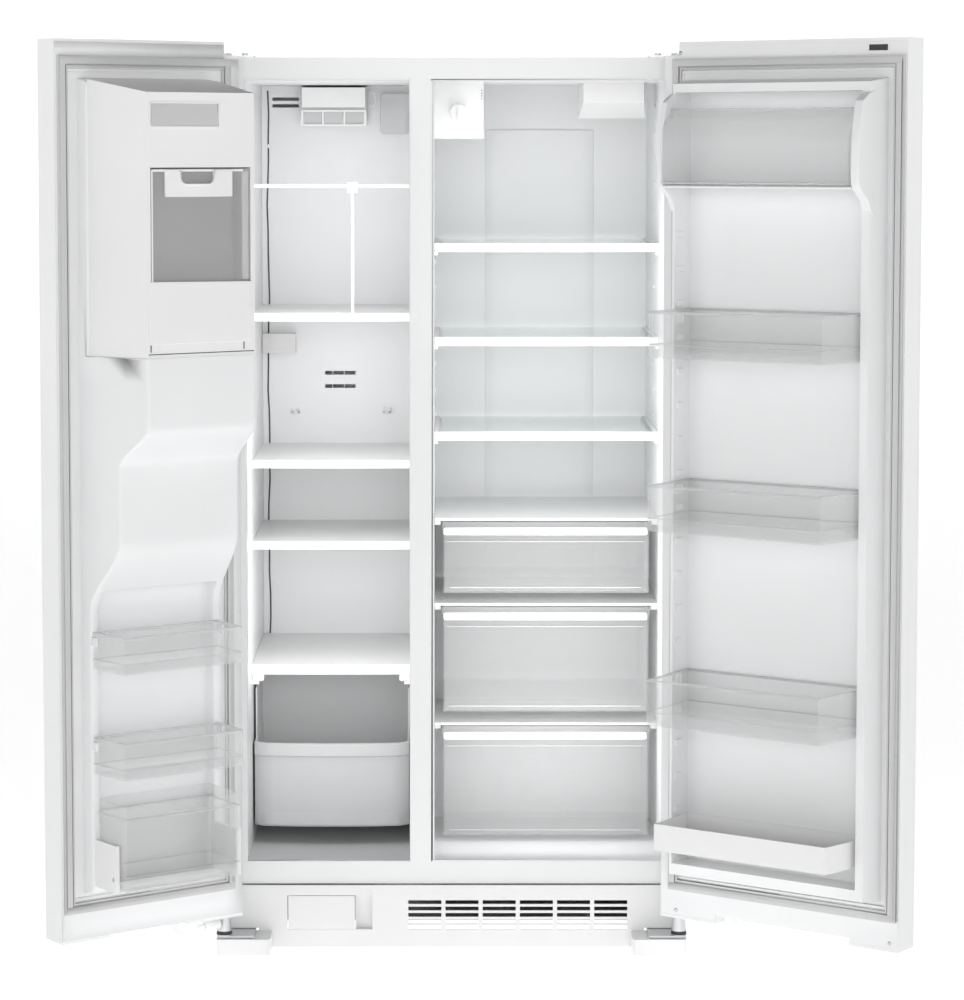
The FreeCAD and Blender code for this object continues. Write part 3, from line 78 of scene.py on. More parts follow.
PLACES = {"cabinet": cabinet_matrix(), "freezer_door": door_matrix("freezer_door"),
          "fridge_door": door_matrix("fridge_door")}


def fz(w):
    """X of a point w from the freezer door's hinge side."""
    return -CAB_W / 2 + w


def fr(w):
    """X of a point w from the fresh food door's hinge side."""
    return CAB_W / 2 - w


def inn(n):
    """Y of a point n inward from a closed door's inner plane."""
    return DOOR_Y + n


# ---------------------------------------------------------------------------------------------
# Materials
# ---------------------------------------------------------------------------------------------
def material(name, color, rough, metallic=0.0, coat=0.0, grain=0.0, grain_scale=400.0, tint=0.02,
             rough_spread=0.06, sheen=0.0, stretch=None, speck=0.0):
    """Principled material whose colour, roughness and surface vary finely over the object."""
    mat = bpy.data.materials.new(name)
    mat.use_nodes = True
    tree = mat.node_tree
    shader = tree.nodes["Principled BSDF"]
    shader.inputs["Base Color"].default_value = (*color[:3], 1)
    shader.inputs["Roughness"].default_value = rough
    shader.inputs["Metallic"].default_value = metallic
    shader.inputs["Coat Weight"].default_value = coat
    shader.inputs["Coat Roughness"].default_value = 0.08
    shader.inputs["Sheen Weight"].default_value = sheen
    place = tree.nodes.new("ShaderNodeTexCoord")
    source = place.outputs["Object"]
    if stretch:
        mapping = tree.nodes.new("ShaderNodeMapping")
        mapping.inputs["Scale"].default_value = stretch
        tree.links.new(source, mapping.inputs["Vector"])
        source = mapping.outputs["Vector"]
    cloud = tree.nodes.new("ShaderNodeTexNoise")
    cloud.inputs["Scale"].default_value = 3.5
    cloud.inputs["Detail"].default_value = 4
    tree.links.new(source, cloud.inputs["Vector"])
    ramp = tree.nodes.new("ShaderNodeValToRGB")
    ramp.color_ramp.elements[0].position = 0.3
    ramp.color_ramp.elements[1].position = 0.7
    ramp.color_ramp.elements[0].color = (*[max(0, c * (1 - tint)) for c in color[:3]], 1)
    ramp.color_ramp.elements[1].color = (*[min(1, c * (1 + tint)) for c in color[:3]], 1)
    tree.links.new(cloud.outputs["Fac"], ramp.inputs["Fac"])
    colour_out = ramp.outputs["Color"]
    if speck:
        dots = tree.nodes.new("ShaderNodeTexNoise")
        dots.inputs["Scale"].default_value = grain_scale * 0.6
        tree.links.new(source, dots.inputs["Vector"])
        mix = tree.nodes.new("ShaderNodeMix")
        mix.data_type = "RGBA"
        mix.blend_type = "MULTIPLY"
        mix.inputs["Factor"].default_value = speck
        tree.links.new(colour_out, mix.inputs["A"])
        tree.links.new(dots.outputs["Color"], mix.inputs["B"])
        colour_out = mix.outputs["Result"]
    tree.links.new(colour_out, shader.inputs["Base Color"])
    spread = tree.nodes.new("ShaderNodeMapRange")
    spread.inputs["To Min"].default_value = max(0.02, rough - rough_spread)
    spread.inputs["To Max"].default_value = min(1.0, rough + rough_spread)
    tree.links.new(cloud.outputs["Fac"], spread.inputs["Value"])
    tree.links.new(spread.outputs["Result"], shader.inputs["Roughness"])
    if grain:
        fine = tree.nodes.new("ShaderNodeTexNoise")
        fine.inputs["Scale"].default_value = grain_scale
        fine.inputs["Detail"].default_value = 2
        tree.links.new(source, fine.inputs["Vector"])
        bump = tree.nodes.new("ShaderNodeBump")
        bump.inputs["Strength"].default_value = grain
        bump.inputs["Distance"].default_value = 0.0004
        tree.links.new(fine.outputs["Fac"], bump.inputs["Height"])
        tree.links.new(bump.outputs["Normal"], shader.inputs["Normal"])
    return mat


def clear(name, color, alpha, rough=0.12, grain=0.0, edge=0.0):
    """See-through moulded plastic or glass: denser where it is seen edge on."""
    mat = material(name, color, rough, grain=grain, grain_scale=250.0, tint=0.015, rough_spread=0.04)
    tree = mat.node_tree
    shader = tree.nodes["Principled BSDF"]
    shader.inputs["Alpha"].default_value = alpha
    shader.inputs["IOR"].default_value = 1.5
    if edge:
        facing = tree.nodes.new("ShaderNodeLayerWeight")
        facing.inputs["Blend"].default_value = 0.35
        span = tree.nodes.new("ShaderNodeMapRange")
        span.inputs["From Min"].default_value = 0.1
        span.inputs["From Max"].default_value = 0.95
        span.inputs["To Min"].default_value = alpha
        span.inputs["To Max"].default_value = min(1.0, alpha + edge)
        tree.links.new(facing.outputs["Facing"], span.inputs["Value"])
        tree.links.new(span.outputs["Result"], shader.inputs["Alpha"])
    return mat


M = {
    "enamel": material("white_enamel", (0.86, 0.865, 0.865), 0.32, coat=0.25, grain=0.2, grain_scale=700.0,
                       tint=0.008, rough_spread=0.02),
    "liner": material("white_liner", (0.84, 0.845, 0.85), 0.38, grain=0.12, grain_scale=260.0),
    "white": material("white_plastic", (0.85, 0.85, 0.85), 0.36, grain=0.12, grain_scale=420.0),
    # Grained white, darker than the other whites: the darker tone is painted shade that holds the basket's
    # brightness down.
    "grained_and_shaded": material("grained_shaded_white", (0.72, 0.725, 0.73), 0.5, grain=0.5, grain_scale=900.0),
    "clear": clear("clear_plastic", (0.9, 0.905, 0.91), 0.13, 0.1, grain=0.03, edge=0.36),
    "rim": clear("clear_rim", (0.82, 0.83, 0.84), 0.4, 0.12, grain=0.03, edge=0.3),
    # Grey see-through plastic for the ice bin: the grey is painted shade for the dim inside seen through it.
    "shaded_clear": clear("clear_with_painted_shade", (0.56, 0.56, 0.565), 0.42, 0.14, grain=0.05, edge=0.2),
    "frost": clear("frosted_plastic", (0.86, 0.87, 0.88), 0.55, 0.35, grain=0.2, edge=0.25),
    "glass": clear("shelf_glass", (0.78, 0.85, 0.84), 0.22, 0.03, edge=0.5),
    "glass_edge": clear("glass_edge", (0.36, 0.42, 0.42), 0.75, 0.08, edge=0.2),
    "lamp": clear("lamp_lens", (0.93, 0.93, 0.92), 0.6, 0.3, grain=0.4, edge=0.2),
    "gasket": material("gasket_vinyl", (0.6, 0.6, 0.6), 0.55, grain=0.35, grain_scale=900.0, sheen=0.1),
    "zinc": material("zinc_steel", (0.62, 0.63, 0.64), 0.38, metallic=1.0, grain=0.3, grain_scale=180.0,
                     tint=0.02, rough_spread=0.03),
    # Mid grey used as painted shade in the vent recess, behind the air box windows and on the ice bin's inner
    # walls.
    "shade": material("shaded_recess", (0.56, 0.56, 0.565), 0.6, grain=0.3, grain_scale=500.0, tint=0.06),
    "grey": material("board_grey", (0.3, 0.3, 0.31), 0.6, grain=0.4, grain_scale=700.0, tint=0.05),
    "black": material("black_plastic", (0.018, 0.018, 0.02), 0.4, grain=0.2, grain_scale=600.0, tint=0.1),
    "black_paint": material("black_paint", (0.025, 0.025, 0.027), 0.3, coat=0.3, grain=0.3,
                            grain_scale=300.0),
    "coil": material("coil_aluminium", (0.75, 0.76, 0.78), 0.35, metallic=1.0, grain=0.3, grain_scale=500.0,
                     tint=0.06),
    "foam": material("insulation", (0.8, 0.7, 0.45), 0.9, grain=0.8, grain_scale=300.0, tint=0.08),
    "screw": material("screw_steel", (0.6, 0.6, 0.6), 0.28, metallic=1.0, grain=0.15, grain_scale=900.0,
                      tint=0.06),
    "dark_line": material("shadow_joint", (0.1, 0.1, 0.1), 0.7, grain=0.2, grain_scale=500.0, tint=0.1),
}

SKINS = {
    "enamel": ["cabinet_shell", "freezer_door_skin", "fridge_door_skin"],
    "foam": ["freezer_door_foam", "fridge_door_foam"],
    "liner": ["freezer_liner", "fridge_liner", "freezer_door_liner", "fridge_door_liner", "evaporator_cover"],
    "white": ["base_grille", "filter_flap", "foot_covers", "air_box", "freezer_shelves", "basket_shelf",
              "control_box", "duct_panel", "shelf_trims", "crisper_covers", "ice_housing", "bottom_bin",
              "dairy_shelf", "tilt_brackets", "freezer_handle", "fridge_handle", "temperature_knob",
              "water_filter"],
    "clear": ["freezer_door_bins", "fridge_door_bins", "tilt_bin", "dairy_lid", "upper_drawer",
              "middle_drawer", "lower_drawer"],
    "grained_and_shaded": ["freezer_basket"],
    "shaded_clear": ["ice_bin"],
    "glass": ["glass_shelves"],
    "lamp": ["lamp_covers"],
    "gasket": ["freezer_gasket", "fridge_gasket"],
    "zinc": ["cabinet_foam", "back_panel", "base_pan", "levelling_legs", "lower_hinges", "upper_hinges",
             "fan_motors"],
    "grey": ["machine_cover", "power_inlet", "dispenser_housing", "condenser_fan", "evaporator_fan",
             "ice_maker", "dispenser_lever"],
    "black_paint": ["compressor", "condenser"],
    "coil": ["evaporator"],
    "black": ["roller_left", "roller_right"],
}
for key, names in SKINS.items():
    for name in names:
        slots = nodes[name].data.materials
        slots.clear()
        slots.append(M[key])


# ---------------------------------------------------------------------------------------------
# Pieces
# ---------------------------------------------------------------------------------------------
class Piece:
    """A mesh drawn in cabinet millimetres, with the door it is on closed."""

    def __init__(self, name):
        self.name = name
        self.mesh = bmesh.new()
        self.mark = 0

    def box(self, x, y, z):
        """Block between two bounds on each axis."""
        made = bmesh.ops.create_cube(self.mesh, size=1.0)["verts"]
        for vert in made:
            vert.co = Vector([low + (at + 0.5) * (high - low) for at, (low, high) in zip(vert.co, (x, y, z))])
        return self

    def rod(self, along, radius, start, length, top=None, segments=24):
        """Cylinder or cone from a start point along an axis."""
        made = bmesh.ops.create_cone(self.mesh, cap_ends=True, segments=segments, radius1=radius,
                                     radius2=radius if top is None else top, depth=length)["verts"]
        turn = {"x": Matrix.Rotation(math.pi / 2, 3, "Y"), "y": Matrix.Rotation(-math.pi / 2, 3, "X"),
                "z": Matrix.Identity(3)}[along]
        for vert in made:
            vert.co = turn @ (vert.co + Vector((0, 0, length / 2))) + Vector(start)
        return self

    def prism(self, along, points, low, high):
        """Outline in the plane across an axis, drawn out between two places on it."""
        def at(p, q, s):
            return {"x": (s, p, q), "y": (p, s, q), "z": (p, q, s)}[along]
        ends = [[self.mesh.verts.new(at(p, q, s)) for p, q in points] for s in (low, high)]
        count = len(points)
        for i in range(count):
            j = (i + 1) % count
            self.mesh.faces.new((ends[0][i], ends[0][j], ends[1][j], ends[1][i]))
        self.mesh.faces.new(ends[0][::-1])
        self.mesh.faces.new(ends[1])
        return self

    def loft(self, rings, closed=True, caps=True):
        """Skin through rings with the same number of points."""
        rows = [[self.mesh.verts.new(p) for p in ring] for ring in rings]
        count = len(rows[0])
        for a, b in zip(rows, rows[1:]):
            for i in range(count if closed else count - 1):
                j = (i + 1) % count
                self.mesh.faces.new((a[i], a[j], b[j], b[i]))
        if caps and closed:
            self.mesh.faces.new(rows[0][::-1])
            self.mesh.faces.new(rows[-1])
        return self

    def tube(self, points, radius, segments=10):
        """Round bar through points."""
        path = [Vector(p) for p in points]
        rings = []
        up = Vector((0.13, 0.21, 0.97)).normalized()
        turns = [2 * math.pi * k / segments for k in range(segments)]
        for i, p in enumerate(path):
            ahead = (path[min(i + 1, len(path) - 1)] - path[max(i - 1, 0)]).normalized()
            side = ahead.cross(up).normalized()
            over = side.cross(ahead)
            rings.append([p + radius * (math.cos(turn) * side + math.sin(turn) * over) for turn in turns])
        return self.loft(rings)

    def done(self, place, body, look, slot, bevel=0.8, segments=2, replaces=(), smooth=True):
        """Finish the mesh, round its edges and hang it on a body."""
        bmesh.ops.remove_doubles(self.mesh, verts=self.mesh.verts, dist=1e-4)
        bmesh.ops.recalc_face_normals(self.mesh, faces=self.mesh.faces)
        data = bpy.data.meshes.new(self.name)
        self.mesh.to_mesh(data)
        self.mesh.free()
        data.transform(PLACES[place])
        data.materials.append(M[look])
        obj = bpy.data.objects.new(self.name, data)
        bpy.context.scene.collection.objects.link(obj)
        if smooth:
            data.shade_smooth()
        if bevel:
            edge = obj.modifiers.new("edges", "BEVEL")
            edge.width = bevel * MM
            edge.segments = segments
            edge.limit_method = "ANGLE"
            edge.angle_limit = math.radians(35)
            edge.harden_normals = smooth
        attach(obj, body)
        if replaces:
            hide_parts(*replaces)
        return obj


def arc(cx, cy, radius, start, end, count):
    """Points of an arc, degrees."""
    turns = [math.radians(start + (end - start) * i / (count - 1)) for i in range(count)]
    return [(cx + radius * math.cos(turn), cy + radius * math.sin(turn)) for turn in turns]


def rounded(x0, x1, z0, z1, radius, count=5):
    """Rectangle with round corners."""
    return (arc(x1 - radius, z1 - radius, radius, 0, 90, count)
            + arc(x0 + radius, z1 - radius, radius, 90, 180, count)
            + arc(x0 + radius, z0 + radius, radius, 180, 270, count)
            + arc(x1 - radius, z0 + radius, radius, 270, 360, count))


def ring_band(piece, outline, z0, z1, wall):
    """Upright wall that follows a closed outline, given as (x, y) points in order."""
    count = len(outline)
    area = sum(outline[i][0] * outline[(i + 1) % count][1] - outline[(i + 1) % count][0] * outline[i][1]
               for i in range(count))
    way = 1 if area > 0 else -1
    inner = []
    for i in range(count):
        a, b, c = (Vector(outline[(i + k - 1) % count]) for k in range(3))
        d1, d2 = (b - a).normalized(), (c - b).normalized()
        n1, n2 = Vector((-d1.y, d1.x)) * way, Vector((-d2.y, d2.x)) * way
        mid = (n1 + n2).normalized()
        inner.append(b + mid * wall / max(0.3, mid.dot(n1)))
    rings = [[(p[0], p[1], z0) for p in outline], [(p[0], p[1], z1) for p in outline],
             [(p[0], p[1], z1) for p in inner], [(p[0], p[1], z0) for p in inner]]
    rows = [[piece.mesh.verts.new(p) for p in ring] for ring in rings]
    for k in range(4):
        a, b = rows[k], rows[(k + 1) % 4]
        for i in range(count):
            j = (i + 1) % count
            piece.mesh.faces.new((a[i], a[j], b[j], b[i]))
    return piece


def frame_ring(piece, x, z, y, wide):
    """Rectangular frame seen from the front, of one width."""
    piece.box((x[0], x[1]), y, (z[1] - wide, z[1]))
    piece.box((x[0], x[1]), y, (z[0], z[0] + wide))
    piece.box((x[0], x[0] + wide), y, (z[0] + wide, z[1] - wide))
    piece.box((x[1] - wide, x[1]), y, (z[0] + wide, z[1] - wide))
    return piece


def smooth_step(t):
    """Ease from 0 to 1 as t goes from 0 to 1."""
    t = min(1.0, max(0.0, t))
    return t * t * (3 - 2 * t)


def liner_height(z):
    """Height of the freezer door's liner over the door's inner plane, below the ice module."""
    return 24 + 76 * smooth_step((z - 704) / 138) + 70 * smooth_step((z - 974) / 78)


def liner_row(z, height, floor, radius=5.0):
    """Section of the liner at one height: walls with draft, round edges, rims and the pan between them."""
    count = 5
    side = []
    for level in (0.0, 0.35, 0.7, 1.0):
        n = level * max(0.0, height - radius)
        side.append((n * 12 / 170, n))
    lean = max(0.0, height - radius) * 12 / 170
    soft = min(radius, height)
    for i in range(1, count + 1):
        a = math.pi / 2 * i / count
        side.append((lean + soft * (1 - math.cos(a)), max(0.0, height - radius) + soft * math.sin(a)))
    brim = max(15.0, lean + soft + 2)
    side += [(brim - 1.2, height), (brim - 0.4, max(floor, height - 0.6)), (brim, max(floor, height - 2)),
             (brim + 0.5, max(floor, min(height, floor + 4))), (brim + 4, floor)]
    near = [(62 + s, n) for s, n in side]
    far = [(W_FZ - 48 - (s * 45 / 12 if k < 4 else side[3][0] * 45 / 12 + s - side[3][0]), n)
           for k, (s, n) in enumerate(side)]
    row = [(1.0, 0.0), (40.0, 0.0)] + near + [(140.0, floor), (200.0, floor), (250.0, floor)]
    row += far[::-1] + [(370.0, 0.0), (W_FZ - 1.0, 0.0)]
    return [(fz(w), inn(n), z) for w, n in row]


def side_at(n, z):
    """Point on the free side of the raised liner."""
    return (fz(W_FZ - 48 - 45 * n / 170 + 0.4), inn(n), z)


def bin_outline(across, back_w, front_w, back_n, front_n):
    """Outline of a door bin's rim from its widths and depths at the back and the front."""
    return [(across(back_w[0]), inn(back_n)), (across(front_w[0]), inn(front_n)),
            (across(front_w[1]), inn(front_n)), (across(back_w[1]), inn(back_n))]


def door_seals():
    """Gaskets: a soft outer lip, a magnet channel and an inner bellows fold."""
    for door, across, wide in (("freezer_door", fz, W_FZ), ("fridge_door", fr, W_FR)):
        seal = Piece(door + "_seal")
        x0, x1 = sorted((across(20), across(wide - 4)))
        for inset, width, tall in ((0, 3.5, 6.5), (3.5, 11.0, 9.6), (14.5, 2.5, 4.5), (17.0, 3.0, 7.5)):
            frame_ring(seal, (x0 + inset, x1 - inset), (SEAL_LOW + inset, SEAL_HIGH - inset),
                       (DOOR_Y, DOOR_Y + tall), width)
        seal.done(door, door, "gasket", "gasket_vinyl", bevel=1.2,
                  replaces=("freezer_gasket",) if door == "freezer_door" else ("fridge_gasket",))


def door_ends():
    """Sensor plugs, liner screws and the liner's raised frame."""
    for door, across, wide in (("freezer_door", fz, W_FZ), ("fridge_door", fr, W_FR)):
        a, b = sorted((across(wide - 78), across(wide - 40)))
        bezel = Piece(door + "_sensor_bezel")
        frame_ring(bezel, (a - 3, b + 3), (1727.5, 1744.5), (DOOR_Y - 0.5, DOOR_Y + 1.2), 3)
        bezel.done(door, door, "white", "white_plastic", bevel=0.4)
        plug = Piece(door + "_sensor_plug")
        plug.box((a, b), (DOOR_Y - 1, DOOR_Y + 0.8), (1730.5, 1741.5))
        for i in range(5):
            at = a + 5 + i * (b - a - 10) / 4
            plug.box((at - 1, at + 1), (DOOR_Y, DOOR_Y + 1.3), (1732, 1740))
        plug.done(door, door, "black", "board_grey", bevel=0.3)
        screws = Piece(door + "_liner_screws")
        for w, z in ((34, 100), (34, 1733), (wide - 18, 100)):
            screws.rod("y", 4, (across(w), DOOR_Y - 0.2, z), 1.6, 3.0, 16)
            screws.box((across(w) - 2.4, across(w) + 2.4), (DOOR_Y + 1.2, DOOR_Y + 1.7), (z - 0.5, z + 0.5))
        screws.done(door, door, "screw", "zinc_steel", bevel=0)
        plinth = Piece(door + "_liner_plinth")
        x = sorted((across(38), across(wide - 26)))
        frame_ring(plinth, x, (162, 1700), (DOOR_Y - 0.5, DOOR_Y + 3.2), 6)
        plinth.done(door, door, "liner", "white_liner", bevel=1.4)


def ice_module():
    """Ice bin's panel, grip, frame, agitator and inner walls, and the module's joints and vent."""
    face = inn(ICE_DEPTH)
    panel = Piece("ice_bin_panel")
    panel.prism("y", [(fz(81), 1202), (fz(81), 1312), (fz(297), 1315), (fz(297), 1202)], face - 2, face + 1.5)
    panel.done("freezer_door", "ice_bin", "white", "white_plastic", bevel=1.0)
    grip = Piece("ice_bin_grip")
    left_x, right_x = fz(162), fz(231)
    outer = [(fz(122), 1516), (fz(122), 1467), (fz(264), 1467), (fz(264), 1516)]
    outer += [(right_x, 1516), (right_x, 1500), (right_x - 3, 1494), (right_x - 9, 1491),
              (left_x + 9, 1491), (left_x + 3, 1494), (left_x, 1500), (left_x, 1516)]
    grip.prism("y", outer, face - 3, face + 2.5)
    grip.done("freezer_door", "ice_bin", "white", "white_plastic", bevel=1.2)
    lip = Piece("ice_bin_grip_lip")
    lip_line = [(right_x + 1.5, 1515), (right_x + 1.5, 1500), (right_x - 2, 1492.5), (right_x - 9, 1489.5),
                (left_x + 9, 1489.5), (left_x + 2, 1492.5), (left_x - 1.5, 1500), (left_x - 1.5, 1515)]
    lip.tube([(x, face + 3, z) for x, z in lip_line], 1.6, 8)
    lip.done("freezer_door", "ice_bin", "white", "white_plastic", bevel=0)
    stay = Piece("ice_bin_frame")
    stay.box((fz(292), fz(289)), (inn(64), face + 0.5), (1312, 1516))
    stay.box((fz(98), fz(84)), (inn(120), face - 4), (1316, 1514))
    stay.box((fz(289), fz(98)), (face - 3, face + 0.6), (1512.5, 1517))
    stay.done("freezer_door", "ice_bin", "white", "white_plastic", bevel=0.8)
    auger = Piece("ice_bin_agitator")
    auger.tube([(fz(262), inn(110), 1420), (fz(262), inn(110), 1372), (fz(258), inn(111), 1352),
                (fz(215), inn(120), 1312), (fz(196), inn(118), 1285), (fz(196), inn(84), 1262),
                (fz(196), inn(84), 1222)], 4, 10)
    auger.rod("z", 12, (fz(195), inn(84), 1212), 12, 8, 20)
    auger.done("freezer_door", "ice_bin", "zinc", "zinc_steel", bevel=0)
    back = Piece("ice_bin_back_step")
    back.box((fz(286), fz(110)), (inn(66), inn(84)), (1446, 1450))
    back.box((fz(286), fz(270)), (inn(84), inn(150)), (1432, 1436))
    back.box((fz(288), fz(100)), (inn(63), inn(66)), (1210, 1500))
    back.done("freezer_door", "ice_bin", "frost", "clear_plastic", bevel=1.2)
    # Opaque mid grey inner walls: painted shade for the dim inside of the ice bin.
    walls = Piece("ice_bin_inner_walls")
    walls.prism("z", [(fz(286), inn(158)), (fz(268), inn(140)), (fz(190), inn(134)), (fz(140), inn(140)),
                      (fz(112), inn(156)), (fz(112), inn(154)), (fz(140), inn(138)), (fz(190), inn(132)),
                      (fz(268), inn(138)), (fz(286), inn(156))], 1290, 1505)
    walls.done("freezer_door", "ice_bin", "shade", "clear_plastic", bevel=0)
    rod = Piece("ice_bin_bent_rod")
    rod.tube([(fz(271), inn(160), 1369), (fz(271), inn(160), 1352), (fz(268), inn(160), 1346),
              (fz(224), inn(160), 1311)], 2.0, 10)
    rod.done("freezer_door", "ice_bin", "grey", "zinc_steel", bevel=0)
    lines = Piece("ice_module_joints")
    lines.box((fz(300), fz(76)), (face - 1, face + 0.5), (1183, 1184.6))
    lines.box((fz(99), fz(97)), (face - 1, face + 0.6), (1188, 1201))
    lines.box((fz(296), fz(294)), (face - 1, face + 0.6), (1188, 1201))
    lines.done("freezer_door", "freezer_door", "dark_line", "board_grey", bevel=0)
    vent = Piece("ice_module_vent_frame")
    frame_ring(vent, (fz(294), fz(150)), (1591, 1638), (face - 0.5, face + 1.5), 3)
    vent.box((fz(151), fz(126)), (face - 0.5, face + 0.5), (1612, 1637))
    vent.done("freezer_door", "freezer_door", "white", "white_plastic", bevel=0.3)
    # Grey sheet inside the vent frame: painted shade for the recess behind the vent.
    vent_shade = Piece("ice_module_vent_shade")
    vent_shade.prism("x", [(face + 0.1, 1594.5), (face + 0.1, 1634.5), (face + 0.3, 1634.5), (face + 1.2, 1600.0),
                     (face + 0.4, 1594.5)], fz(292), fz(152))
    vent_shade.done("freezer_door", "freezer_door", "shade", "white_plastic", bevel=0.2)


def freezer_door_liner():
    """Liner of the freezer door as one moulded sheet."""
    moulding = Piece("freezer_door_liner_moulding")
    rows = [liner_row(z, 0.0, 0.0) for z in (90, 135, 176)]
    rows += [liner_row(z, h, h) for z, h in ((177.5, 7), (179, 14), (180.2, 19), (181.5, 22), (183.5, 23.5),
                                             (186, 24), (191, 24))]
    rows += [liner_row(z, liner_height(z), 2.0) for z in [191.5] + [200 + 50 * i for i in range(10)]
             + [704 + 6 * i for i in range(7)] + [744]]
    rows += [liner_row(z, liner_height(z), liner_height(z)) for z in [745] + [751 + 6 * i for i in range(16)]
             + [870, 900, 940] + [970 + 5 * i for i in range(18)] + [1090, 1130, 1175]]
    rows += [liner_row(z, 24.0, 24.0) for z in (1175.2, 1300, 1450, 1600, 1666)]
    rows += [liner_row(z, h, h) for z, h in ((1671, 23.5), (1674, 22), (1676, 19), (1678, 13), (1680, 6))]
    rows += [liner_row(z, 0.0, 0.0) for z in (1682, 1700, 1721)]
    moulding.loft(rows, closed=False, caps=False)
    moulding.loft([[(fz(w), inn(0), z) for w in (33.0, 200.0, W_FZ - 1.0)] for z in (1721, 1748)],
                  closed=False, caps=False)
    moulding = moulding.done("freezer_door", "freezer_door", "liner", "white_liner", bevel=0,
                             replaces=("freezer_door_liner", "freezer_door_foam"))
    moulding.data.set_sharp_from_angle(angle=math.radians(40))
    wall = moulding.modifiers.new("sheet", "SOLIDIFY")
    wall.thickness = 2 * MM
    wall.offset = -1


def liner_emboss():
    """Embossed line on the side of the freezer door's liner."""
    emboss = Piece("freezer_liner_emboss")
    side_line = [(18, 1150), (60, 1146), (72, 1128), (74, 1080), (66, 1050), (42, 1020), (30, 985),
                 (28, 900), (22, 850)]


    emboss.tube([side_at(n, z) for n, z in side_line], 1.1, 8)
    emboss.done("freezer_door", "freezer_door", "liner", "white_liner", bevel=0)


def door_bins():
    """Thick rolled rims, a lower step line and end clips."""
    rims = Piece("freezer_bin_rims")
    clips = Piece("freezer_bin_clips")
    for low in (403, 598):
        shape = bin_outline(fz, (65.5, W_FZ - 55.5), (73.5, W_FZ - 65.5), 24.3, 122.5)
        ring_band(rims, shape, low + 64, low + 68.6, 4.2)
        ring_band(rims, shape, low + 18, low + 19.6, 3.1)
        for w in (66, W_FZ - 56):
            clips.box((fz(w) - 3, fz(w) + 3), (inn(24.5), inn(40)), (low + 44, low + 60))
    rims.done("freezer_door", "freezer_door", "rim", "clear_plastic", bevel=1.0)
    clips.done("freezer_door", "freezer_door", "white", "white_plastic", bevel=1.0)
    rims = Piece("fridge_bin_rims")
    clips = Piece("fridge_bin_clips")
    for low in (484, 847, 1169):
        shape = bin_outline(fr, (59.2, W_FR - 59.2), (62.5, W_FR - 82.8), 2.3, 159.8)
        ring_band(rims, shape, low + 82, low + 86.6, 4.2)
        ring_band(rims, shape, low + 24, low + 25.6, 3.1)
        for w in (59.5, W_FR - 59.5):
            clips.box((fr(w) - 3, fr(w) + 3), (inn(30), inn(52)), (low + 60, low + 78))
    rims.done("fridge_door", "fridge_door", "rim", "clear_plastic", bevel=1.0)
    clips.done("fridge_door", "fridge_door", "white", "white_plastic", bevel=1.0)
    tilt = Piece("tilt_bin_rim")
    shape = bin_outline(fz, (79.0, W_FZ - 65.0), (82.0, W_FZ - 68.0), 9.0, 122.5)
    ring_band(tilt, shape, 328, 331.5, 3.6)
    ring_band(tilt, shape, 222, 223.6, 3.1)
    tilt.done("freezer_door", "tilt_bin", "rim", "clear_plastic", bevel=0.8)


def rib_lugs():
    """Bin supports moulded up the ribs of the fresh food door."""
    lugs = Piece("fridge_rib_lugs")
    for w in (59.0, W_FR - 59.0):
        for k in range(18):
            z = 300 + k * 64
            if z < 1470:
                lugs.box((fr(w) - 3.2, fr(w) + 3.2), (inn(28), inn(50)), (z, z + 12))
    lugs.done("fridge_door", "fridge_door", "liner", "white_liner", bevel=2.0, segments=3)


def dairy_compartment():
    """Shelf, swept cheeks and the lid's rims."""
    cheek = Piece("dairy_cheeks")
    sweep = [(2, 1410), (40, 1425), (58, 1440), (72, 1462), (96, 1478), (108, 1486), (112, 1500), (112, 1560),
             (104, 1612), (90, 1640), (70, 1652), (40, 1662), (2, 1668)]
    for w0, w1 in ((48.5, 58.6), (W_FR - 58.6, W_FR - 41)):
        a, b = sorted((fr(w0), fr(w1)))
        cheek.prism("x", [(inn(n - 6 if n > 100 else n), z) for n, z in sweep], a, b)
    cheek.box((fr(W_FR - 58.6), fr(58.6)), (inn(2), inn(104)), (1481.5, 1486))
    cheek.done("fridge_door", "fridge_door", "liner", "white_liner", bevel=3.0, segments=3,
               replaces=("dairy_shelf",))
    dairy = Piece("dairy_lid_rims")
    dairy.tube([(fr(61), inn(112.5), 1491), (fr(W_FR - 61), inn(112.5), 1491)], 2.0, 8)
    dairy.tube([(fr(61), inn(75), 1626), (fr(W_FR - 61), inn(75), 1626)], 1.8, 8)
    dairy.done("fridge_door", "dairy_lid", "rim", "clear_plastic", bevel=0)


